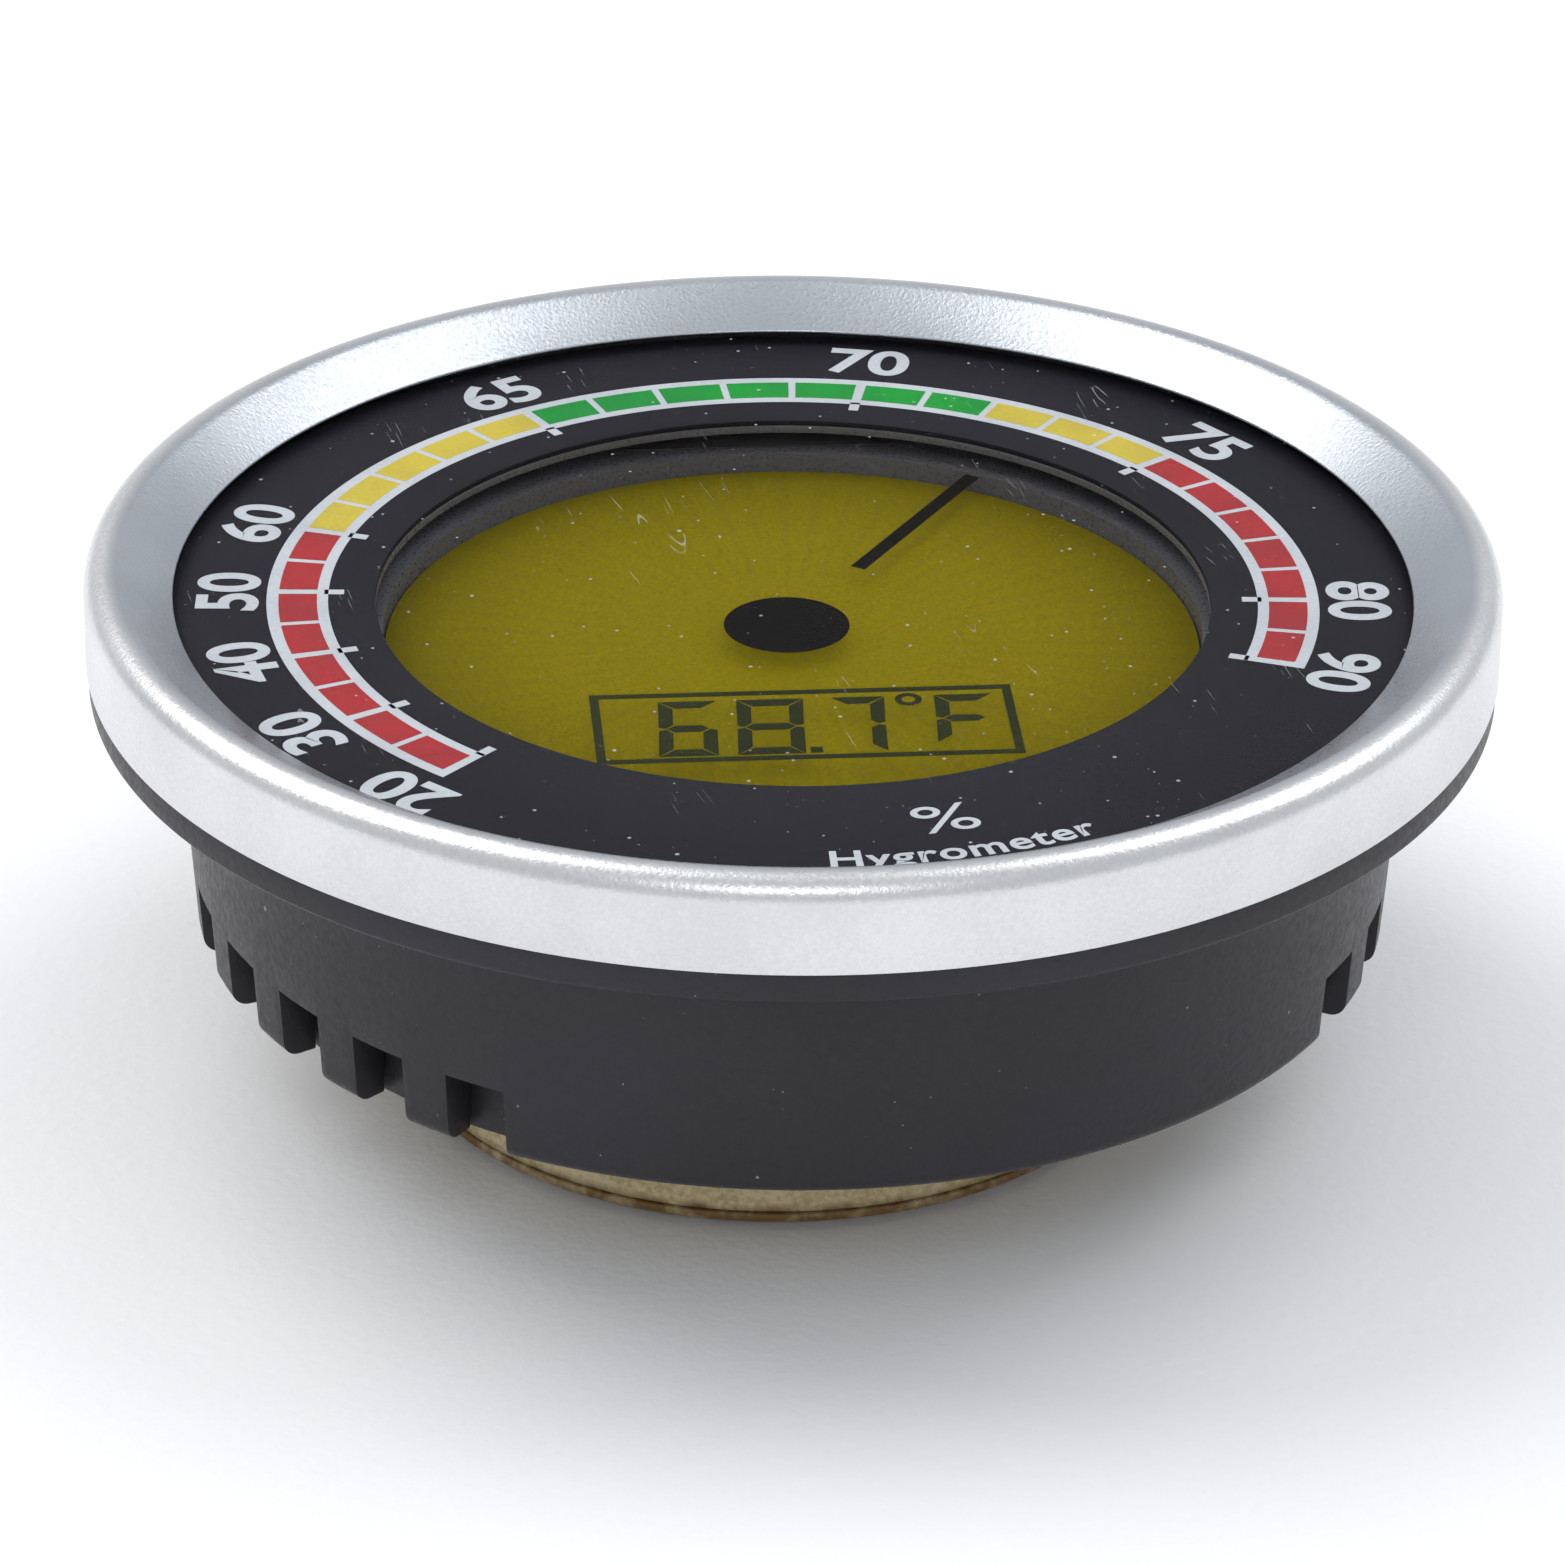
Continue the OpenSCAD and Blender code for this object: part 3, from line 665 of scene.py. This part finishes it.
def makeBezel(plan):
    middle = (faceMm - plan["shoulder"], crownTop - plan["shoulder"])
    lipTop = crownTop - plan["lipDrop"]
    run, rise = middle[0] - plan["lip"], middle[1] - lipTop
    slope = math.degrees(math.atan2(rise, run) + math.asin(plan["shoulder"] / math.hypot(run, rise)))
    outline = [(faceMm, bezelFoot)]
    outline += arcPoints(middle, plan["shoulder"], 0, 90 + slope, 16)
    outline += [
        (plan["lip"], lipTop),
        (plan["lip"], lensHigh),
        (plan["pocket"], lensHigh),
        (plan["pocket"], housingHigh),
        (plan["collar"], housingHigh),
        (plan["collar"], bezelFoot),
    ]
    bm = turnedBmesh(outline, plan["rounding"], steps=256)
    finishPiece("bezel_ring", bm, satinBezel, "case", ["bezel"])
    lens = turnedBmesh(discOutline(radiusOf("lens"), lensLow, lensHigh), plan["lensRounding"])
    finishPiece("clear_lens", lens, dustyLens, "case", ["lens"])


makeBezel(bezelPlan)
print("bezel and lens made")

windowRadius = 20.63
scaleTop = spanOf("dial_ring")[1]

scalePlan = {
    "rounding": 0.04,
    "blocks": 30,
    "halfSweep": 123.5,  # degrees from 12 o'clock to either end
    "innerLine": 22.95,
    "innerColour": 23.50,
    "outerColour": 25.39,
    "outerLine": 25.98,
    "separator": 0.36,
    "tickWidth": 0.51,
    "tickIn": 22.18,
    "tickLap": 0.2,  # how far a tick runs under the ring of lines
    "inkLow": 0.001,
    "inkHigh": 0.012,
    "colourHigh": 0.022,
    # each number, the block edge it stands at, and the radius of its middle
    "numbers": ((20, 0, 28.25), (30, 2, 28.1), (40, 4, 27.85), (50, 6, 27.9), (60, 8, 28.05), (65, 13, 28.2),
                (70, 18, 28.4), (75, 23, 28.15), (80, 28, 27.95), (90, 30, 27.85)),
    "colours": (("red", 8), ("yellow", 5), ("green", 7), ("yellow", 3), ("red", 7)),
}


def clockOf(plan, index):
    return -plan["halfSweep"] + index * 2 * plan["halfSweep"] / plan["blocks"]


def degreesAcross(width, radius):
    return math.degrees(width / radius)


def makeScale(plan):
    ring = ringOutline(radiusOf("dial_ring"), windowRadius, *spanOf("dial_ring"))
    finishPiece("scale_ring", turnedBmesh(ring, plan["rounding"]), scaleBlack, "case",
                ["dial_ring"])
    low, inkTop, colourTop = (scaleTop + plan[key] for key in ("inkLow", "inkHigh", "colourHigh"))
    white = bmesh.new()
    middle = (plan["innerColour"] + plan["outerColour"]) / 2
    endLap = degreesAcross(plan["tickWidth"] / 2, middle)
    sweep = plan["halfSweep"] + endLap
    addSector(white, plan["innerLine"], plan["outerLine"], -sweep, sweep, low, inkTop)
    majors = {index for _, index, _ in plan["numbers"]}
    for index in majors:
        turn = math.radians(90 - clockOf(plan, index))
        length = plan["innerLine"] + plan["tickLap"] - plan["tickIn"]
        addBox(white, (plan["tickIn"] + length / 2, 0, (low + inkTop) / 2),
               (length, plan["tickWidth"], inkTop - low), turn)
    bmesh.ops.recalc_face_normals(white, faces=white.faces[:])
    finishPiece("scale_lines", white, printWhite, "case")

    inks = {"red": (printRed, "print_red"), "yellow": (printYellow, "print_yellow"),
            "green": (printGreen, "print_green")}
    meshes = {colour: bmesh.new() for colour in inks}
    index = 0
    for colour, count in plan["colours"]:
        for _ in range(count):
            sides = []
            for end in (index, index + 1):
                width = plan["tickWidth"] if end in majors else plan["separator"]
                sides.append(degreesAcross(width / 2, middle))
            addSector(meshes[colour], plan["innerColour"], plan["outerColour"],
                      clockOf(plan, index) + sides[0], clockOf(plan, index + 1) - sides[1], inkTop, colourTop)
            index += 1
    for colour, (material, slotName) in inks.items():
        bmesh.ops.recalc_face_normals(meshes[colour], faces=meshes[colour].faces[:])
        finishPiece("scale_" + colour, meshes[colour], material, "case")


makeScale(scalePlan)

figurePlan = {
    "height": 3.2,
    "widthOfTwo": 4.3,
    "boldness": 0.026,
    "percentHeight": 2.65,
    "percentWidth": 2.95,
    "percentBoldness": 0.0,
    "percentReach": 24.8,
    "word": "Hygrometer",
    "wordHeight": 2.1,
    "wordReach": 28.3,
    "wordSpan": 13.0,
    "wordBoldness": 0.02,
    "wordSpacing": 1.08,
    "wordEdge": 0.6,  # longest edge that bends as one
    "thickness": 0.012,
}


def letterMesh(text, boldness, spacing=1.0):
    # flat letters of the built-in face, as a bmesh in font units with a thin wall
    curve = bpy.data.curves.new(text, "FONT")
    curve.body = text
    curve.space_character = spacing
    curve.resolution_u = 8
    curve.align_x = "CENTER"
    holder = bpy.data.objects.new(text, curve)
    scene.collection.objects.link(holder)
    bpy.context.view_layer.update()
    mesh = bpy.data.meshes.new_from_object(holder.evaluated_get(bpy.context.evaluated_depsgraph_get()))
    bm = bmesh.new()
    bm.from_mesh(mesh)
    bpy.data.objects.remove(holder)
    bpy.data.meshes.remove(mesh)
    bpy.data.curves.remove(curve)
    bmesh.ops.remove_doubles(bm, verts=bm.verts[:], dist=weld / mm)
    embolden(bm, boldness)
    thicken(bm, bm.faces[:], 1 / mm)
    return bm


def embolden(bm, amount):
    # moves the outline of flat letters outwards by the same width everywhere, less far at sharp corners
    sharpest = 0.6
    moves = {}
    for vert in bm.verts:
        rim = [edge for edge in vert.link_edges if edge.is_boundary]
        sides = []
        for edge in rim:
            side = (edge.verts[1].co - edge.verts[0].co).cross(Vector((0, 0, 1))).normalized()
            inward = edge.link_faces[0].calc_center_median() - edge.verts[0].co
            sides.append(-side if side.dot(inward) > 0 else side)
        if len(sides) == 2:
            push = sides[0] + sides[1]
            moves[vert] = push.normalized() * amount / max(sharpest, push.length / 2)
    for vert, move in moves.items():
        vert.co += move


def extentOf(bm):
    xs, ys = [v.co.x for v in bm.verts], [v.co.y for v in bm.verts]
    return min(xs), max(xs), min(ys), max(ys)


def fitLetters(bm, widthScale, heightScale, low, thickness):
    # centres the letters, scales them to millimetres and lays them on a level
    left, right, bottom, top = extentOf(bm)
    bmesh.ops.translate(bm, verts=bm.verts[:], vec=(-(left + right) / 2, -(bottom + top) / 2, 0))
    bmesh.ops.scale(bm, verts=bm.verts[:], vec=(widthScale * mm, heightScale * mm, thickness * mm))
    bmesh.ops.translate(bm, verts=bm.verts[:], vec=(0, 0, low * mm))


def joinInto(target, source):
    carrier = bpy.data.meshes.new("carrier")
    source.to_mesh(carrier)
    source.free()
    target.from_mesh(carrier)
    bpy.data.meshes.remove(carrier)


def scalesFor(letters, width, height):
    left, right, bottom, top = extentOf(letters)
    return width / (right - left), height / (top - bottom)


def makeFigures(plan, numbers):
    figures = bmesh.new()
    low = scaleTop + scalePlan["inkLow"]
    reference = letterMesh("60", plan["boldness"])
    ofTwo = scalesFor(reference, plan["widthOfTwo"], plan["height"])
    reference.free()
    for value, index, reach in numbers:
        letters = letterMesh(str(value), plan["boldness"])
        fitLetters(letters, *ofTwo, low, plan["thickness"])
        place = Matrix.Rotation(math.radians(-clockOf(scalePlan, index)), 4, "Z")
        place = place @ Matrix.Translation((0, reach * mm, 0))
        bmesh.ops.transform(letters, matrix=place, verts=letters.verts[:])
        joinInto(figures, letters)
    percent = letterMesh("%", plan["percentBoldness"])
    scales = scalesFor(percent, plan["percentWidth"], plan["percentHeight"])
    fitLetters(percent, *scales, low, plan["thickness"])
    bmesh.ops.translate(percent, verts=percent.verts[:], vec=(0, -plan["percentReach"] * mm, 0))
    joinInto(figures, percent)
    word = letterMesh(plan["word"], plan["wordBoldness"], plan["wordSpacing"])
    scales = scalesFor(word, plan["wordSpan"], plan["wordHeight"])
    fitLetters(word, *scales, low, plan["thickness"])
    longEdges = [e for e in word.edges if e.calc_length() > plan["wordEdge"] * mm]
    bmesh.ops.subdivide_edges(word, edges=longEdges, cuts=2)
    ringRadius = plan["wordReach"] * mm
    for vert in word.verts:  # bent along the ring, its letters upright at the bottom
        turn, reach = vert.co.x / ringRadius, ringRadius - vert.co.y
        vert.co.x, vert.co.y = reach * math.sin(turn), -reach * math.cos(turn)
    joinInto(figures, word)
    bmesh.ops.recalc_face_normals(figures, faces=figures.faces[:])
    finishPiece("scale_figures", figures, printWhite, "case")


makeFigures(figurePlan, scalePlan["numbers"])
print("scale printed")

windowPlan = {"legInner": 30.2, "legHeight": 1.01, "rounding": 0.03, "filmRounding": 0.02}


def makeWindow(plan):
    low, high = spanOf("lcd_frame")
    seat = low + plan["legHeight"]
    outer = radiusOf("lcd_frame")
    outline = [(windowRadius, seat), (plan["legInner"], seat), (plan["legInner"], low), (outer, low),
               (outer, high), (windowRadius, high)]
    finishPiece("window_frame", turnedBmesh(outline, plan["rounding"]), windowWall, "case",
                ["lcd_frame"])
    film = discOutline(radiusOf("lcd_reflector"), *spanOf("lcd_reflector"))
    finishPiece("olive_reflector", turnedBmesh(film, plan["filmRounding"]), oliveFilm, "case",
                ["lcd_reflector", "lcd_rear_glass"])


makeWindow(windowPlan)

displayPlan = {
    "inkBelow": 0.028,  # under the front glass
    "inkThick": 0.013,
    "shift": (-0.29, 0.09),  # the display sits off the axis by this much
    "hub": 3.12,
    "handTurn": 33.1,  # clockwise from the display's own 12 o'clock
    "handFrom": 7.5,
    "handTo": 20.1,
    "handWidth": 0.8,
    "boxLeft": -10.23,
    "boxRight": 10.34,
    "boxTop": -7.23,
    "boxBottom": -14.6,
    "boxLine": 0.46,
    "digitTop": -8.14,
    "digitBottom": -14.0,
    "digitStroke": 0.8,
    "segmentGap": 0.12,
    "lean": 3.0,
    # each figure, its left and right side, and how far it is lifted
    "digits": (("6", -7.26, -4.33, 0), ("8", -3.46, -0.14, 0), ("7", 1.12, 3.81, 0), ("F", 6.22, 9.1, 0.76)),
    "dot": (0.36, -13.66),
    "dotSize": 0.6,
    "degree": (5.24, -8.56),
    "degreeOuter": 0.66,
    "degreeInner": 0.34,
}

# which bars of a seven bar figure are lit: a top, b c right, d bottom, e f left, g middle
litBars = {"6": "acdefg", "8": "abcdefg", "7": "abc", "F": "aefg"}


def barShapes(width, height, stroke):
    # outlines of the seven bars, mitred where they meet, from the lower left corner
    half, mid = stroke / 2, height / 2
    notch = half * 0.4
    return {
        "a": [(0, height), (stroke, height - stroke), (width - stroke, height - stroke), (width, height)],
        "d": [(0, 0), (width, 0), (width - stroke, stroke), (stroke, stroke)],
        "g": [(half, mid), (stroke, mid - half), (width - stroke, mid - half), (width - half, mid),
              (width - stroke, mid + half), (stroke, mid + half)],
        "f": [(0, height), (0, mid + notch), (half, mid), (stroke, mid + half), (stroke, height - stroke)],
        "e": [(0, mid - notch), (0, 0), (stroke, stroke), (stroke, mid - half), (half, mid)],
        "b": [(width, height), (width - stroke, height - stroke), (width - stroke, mid + half),
              (width - half, mid), (width, mid + notch)],
        "c": [(width, mid - notch), (width - half, mid), (width - stroke, mid - half),
              (width - stroke, stroke), (width, 0)],
    }


def addFigure(bm, plan, glyph, left, right, bottom, low):
    height = plan["digitTop"] - bottom
    shapes = barShapes(right - left, height, plan["digitStroke"])
    lean = math.tan(math.radians(plan["lean"]))
    fresh = []
    for bar in litBars[glyph]:
        verts = [bm.verts.new(((left + x + y * lean) * mm, (bottom + y) * mm, low * mm))
                 for x, y in shapes[bar]]
        fresh.append(bm.faces.new(verts))
    bmesh.ops.recalc_face_normals(bm, faces=fresh)
    ring = bmesh.ops.inset_individual(bm, faces=fresh, thickness=plan["segmentGap"] / 2 * mm)
    bmesh.ops.delete(bm, geom=ring["faces"], context="FACES")
    thicken(bm, fresh, plan["inkThick"])


def turnDisplay(bm, plan):
    bmesh.ops.rotate(bm, cent=(0, 0, 0), matrix=Matrix.Rotation(worksTurn, 3, "Z"), verts=bm.verts[:])
    bmesh.ops.translate(bm, verts=bm.verts[:], vec=Vector((*plan["shift"], 0)) * mm)


def makeDisplay(plan):
    thickness = plan["inkThick"]
    low = spanOf("lcd_front_glass")[0] - plan["inkBelow"]
    high, middle = low + thickness, low + thickness / 2
    hub = turnedBmesh(discOutline(plan["hub"], low, high), 0)
    handMiddle = (plan["handFrom"] + plan["handTo"]) / 2
    addBox(hub, (handMiddle, 0, middle), (plan["handTo"] - plan["handFrom"], plan["handWidth"], thickness),
           math.radians(90 - plan["handTurn"]))
    turnDisplay(hub, plan)
    bmesh.ops.recalc_face_normals(hub, faces=hub.faces[:])
    hand = finishPiece("display_hand", hub, hubInk, "case")

    ink = bmesh.new()
    line = plan["boxLine"]
    across, up = plan["boxRight"] - plan["boxLeft"], plan["boxTop"] - plan["boxBottom"]
    midX, midY = (plan["boxRight"] + plan["boxLeft"]) / 2, (plan["boxTop"] + plan["boxBottom"]) / 2
    for y in (plan["boxTop"] - line / 2, plan["boxBottom"] + line / 2):
        addBox(ink, (midX, y, middle), (across, line, thickness))
    for x in (plan["boxLeft"] + line / 2, plan["boxRight"] - line / 2):
        addBox(ink, (x, midY, middle), (line, up - 2 * line, thickness))
    for glyph, left, right, lift in plan["digits"]:
        addFigure(ink, plan, glyph, left, right, plan["digitBottom"] + lift, low)
    addBox(ink, (*plan["dot"], middle), (plan["dotSize"], plan["dotSize"], thickness))
    degree = turnedBmesh(ringOutline(plan["degreeOuter"], plan["degreeInner"], low, high), 0, steps=48)
    bmesh.ops.translate(degree, verts=degree.verts[:], vec=Vector((*plan["degree"], 0)) * mm)
    joinInto(ink, degree)
    turnDisplay(ink, plan)
    bmesh.ops.recalc_face_normals(ink, faces=ink.faces[:])
    readout = finishPiece("display_readout", ink, displayInk, "case")
    # the bars only stop light that has passed the polariser, so they throw no shadow on the film
    hand.visible_shadow = readout.visible_shadow = False


makeDisplay(displayPlan)
print("display drawn")

housingPlan = {
    "rimRadius": 29.8,
    "rimRound": 0.85,
    "skirt": 28.0,
    "spigot": 30.16,
    "spigotFrom": 6.0,  # above the rim
    "flange": 34.8,
    "flangeThick": 1.68,
    "flangeEdge": 0.3,
    "collar": 33.8,
    "pocket": 31.55,
    "pocketDrop": 0.35,
    "notches": 9,
    "notchPitch": 11.15,
    "notchWidth": 6.2,
    "notchHeight": 3.8,
    "notchMiddle": 91,
    "notchRound": 0.16,
    "notchSharp": 50,  # edges turning more than this are rounded, degrees
    "cutterSpare": 2,
    "rounding": 0.08,
}


def makeHousing(plan):
    rim, top = spanOf("housing")
    flangeLow = bezelFoot - plan["flangeThick"]
    ledge = bezelFoot - plan["pocketDrop"]
    outline = [(plan["skirt"], rim)]
    outline += arcPoints((plan["rimRadius"] - plan["rimRound"], rim + plan["rimRound"]), plan["rimRound"],
                         -90, 0, 10)
    outline += [
        (plan["spigot"], rim + plan["spigotFrom"]),
        (plan["spigot"], flangeLow),
        (plan["flange"] - plan["flangeEdge"], flangeLow),
        (plan["flange"], flangeLow + plan["flangeEdge"]),
        (plan["flange"], bezelFoot),
        (plan["collar"], bezelFoot),
        (plan["collar"], top),
        (plan["pocket"], top),
        (plan["pocket"], ledge),
        (plan["skirt"], ledge),
    ]
    shell = finishPiece("housing_shell", turnedBmesh(outline, plan["rounding"], steps=256), housingBlack,
                        "case", ["housing"])
    cutter = bmesh.new()
    spare = plan["cutterSpare"]
    for side in (-1, 1):
        for i in range(plan["notches"]):
            middle = 180 + side * (plan["notchMiddle"] + (i - (plan["notches"] - 1) / 2) * plan["notchPitch"])
            addSector(cutter, plan["skirt"] - spare, plan["spigot"] + spare, middle - plan["notchWidth"] / 2,
                      middle + plan["notchWidth"] / 2, rim - spare / 2, rim + plan["notchHeight"])
    bmesh.ops.recalc_face_normals(cutter, faces=cutter.faces[:])
    cutMesh = bpy.data.meshes.new("notchCutter")
    cutter.to_mesh(cutMesh)
    cutter.free()
    cutObject = bpy.data.objects.new("notchCutter", cutMesh)
    scene.collection.objects.link(cutObject)
    cut = shell.modifiers.new("notches", "BOOLEAN")
    cut.operation, cut.solver, cut.object = "DIFFERENCE", "EXACT", cutObject
    soften(shell, plan["notchRound"], 3, plan["notchSharp"])
    applyModifiers(shell)
    bpy.data.objects.remove(cutObject)


def soften(piece, width, segments, sharpFrom):
    bevel = piece.modifiers.new("soften", "BEVEL")
    bevel.width, bevel.segments, bevel.limit_method = width * mm, segments, "ANGLE"
    bevel.angle_limit = math.radians(sharpFrom)


makeHousing(housingPlan)


softPlan = {"weld": 0.001, "flat": 0.5, "width": 0.12, "segments": 2, "sharp": 40}


def softenNode(plan, node, name, material):
    # the node's own shape, merged, with its sharp edges rounded
    bm = bmesh.new()
    bm.from_mesh(frame["nodes"][node].data)
    bmesh.ops.remove_doubles(bm, verts=bm.verts[:], dist=plan["weld"] * mm)
    bmesh.ops.dissolve_limit(bm, angle_limit=math.radians(plan["flat"]), verts=bm.verts[:], edges=bm.edges[:])
    piece = finishPiece(name, bm, material, bodyOf(node), [node])
    soften(piece, plan["width"], plan["segments"], plan["sharp"])
    applyModifiers(piece)


softenNode(softPlan, "rear_cover", "cover_moulding", housingBlack)
softenNode(softPlan, "battery_door", "twist_door", housingBlack)
print("housing and cover made")

# the disc it stands on: magnet cup, steel plate, pad and foam
discPlan = {
    "cupWall": 1.4,
    "cupShoulder": 0.6,
    "cupFoot": 0.18,
    "plateEdge": 0.15,
    "padEdge": 0.08,
    "foamEdge": 0.15,
}


def makeDisc(plan):
    low, high = spanOf("magnet_cup")
    radius = halfWidthOf("magnet_cup")
    wall, shoulder = plan["cupWall"], plan["cupShoulder"]
    outline = [(0, high)]
    outline += arcPoints((radius - shoulder, high - shoulder), shoulder, 90, 0, 8)
    outline += [(radius, low), (radius - wall, low), (radius - wall, high - wall), (0, high - wall)]
    cup = moveOnto(turnedBmesh(outline, plan["cupFoot"]), "magnet_cup")
    finishPiece("steel_cup", cup, yellowSteel, "door", ["magnet_cup"])
    flats = (
        ("steel_plate", "mounting_plate", "plateEdge", yellowSteel, "plate", "plated_steel"),
        ("pad_disc", "plate_pad", "padEdge", padGrey, "plate", "foam"),
        ("foam_disc", "magnet_foam", "foamEdge", foamWhite, "door", "foam"),
    )
    for name, node, edge, material, body, slotName in flats:
        bm = turnedBmesh(discOutline(halfWidthOf(node), *spanOf(node)), plan[edge])
        finishPiece(name, moveOnto(bm, node), material, body, [node])


makeDisc(discPlan)

for key in ("up", "down", "unit"):
    softenNode(softPlan, key + "_button", key + "_button_cap", buttonGrey)
print("disc and buttons made")

# finishes of the nodes that stay as the frame brings them
nodeFinish = {
    "lcd_front_glass": displayGlass,
    "lcd_holder": windowWall,
    "zebra_strips": zebraRubber,
    "main_board": boardGreen,
    "controller_chip": epoxyBlack,
    "crystal": platedSteel,
    "humidity_sensor": sensorWhite,
    "thermistor": epoxyBlack,
    "capacitors": ceramicTan,
    "resistors": ceramicTan,
    "tact_switches": platedSteel,
    "board_screws": platedSteel,
    "sensor_filter": filterWhite,
    "cover_screws": platedSteel,
    "battery": platedSteel,
    "positive_contact": goldContact,
    "negative_contact": goldContact,
    "door_seal": sealBlack,
    "magnet": ferriteGrey,
    "up_plunger": sealBlack,
    "down_plunger": sealBlack,
    "unit_plunger": sealBlack,
}
for node, material in nodeFinish.items():
    piece = frame["nodes"][node]
    piece.data.materials.clear()
    piece.data.materials.append(material)
    piece.data.polygons.foreach_set("material_index", [0] * len(piece.data.polygons))
print("carried nodes finished")


floorPlan = {"halfSide": 1.6, "cells": 8}


def makeFloor(plan):
    bm = bmesh.new()
    bmesh.ops.create_grid(bm, x_segments=plan["cells"], y_segments=plan["cells"], size=plan["halfSide"])
    mesh = bpy.data.meshes.new("paper_floor")
    bm.to_mesh(mesh)
    bm.free()
    floor = bpy.data.objects.new("paper_floor", mesh)
    scene.collection.objects.link(floor)
    paper = moulded("paper", (0.96, 0.96, 0.96), (0.93, 0.93, 0.935), 0.9, grain=1500.0, depth=0.05,
                    slow=25.0, mottle=0.5, mottleScale=1800.0, specular=0.1)
    mesh.materials.append(paper)


lightPlan = {
    "world": 0.74,
    "sky": (0.93, 0.96, 1.0, 1),
    "aim": (0, 0, 0.015),
    "lamps": (
        # name, place in metres, size, power, colour
        ("leftLamp", (-0.43, 0.44, 0.85), 0.8, 4.8, (1, 0.99, 0.98)),
        ("rightLamp", (0.60, 0.15, 0.85), 0.7, 2.7, (0.98, 0.99, 1)),
        ("frontLamp", (-0.20, -0.62, 0.60), 0.3, 0.7, (1, 1, 1)),
    ),
}


def makeLight(plan):
    world = bpy.data.worlds.new("studio")
    world.use_nodes = True
    background = world.node_tree.nodes["Background"]
    background.inputs["Color"].default_value = plan["sky"]
    background.inputs["Strength"].default_value = plan["world"]
    scene.world = world
    for name, place, size, power, colour in plan["lamps"]:
        lamp = bpy.data.lights.new(name, "AREA")
        lamp.shape, lamp.size, lamp.energy, lamp.color = "DISK", size, power, colour
        holder = bpy.data.objects.new(name, lamp)
        turn = (Vector(plan["aim"]) - Vector(place)).to_track_quat("-Z", "Y").to_matrix().to_4x4()
        holder.matrix_world = Matrix.Translation(place) @ turn
        scene.collection.objects.link(holder)


makeFloor(floorPlan)
makeLight(lightPlan)
print("floor and light set")
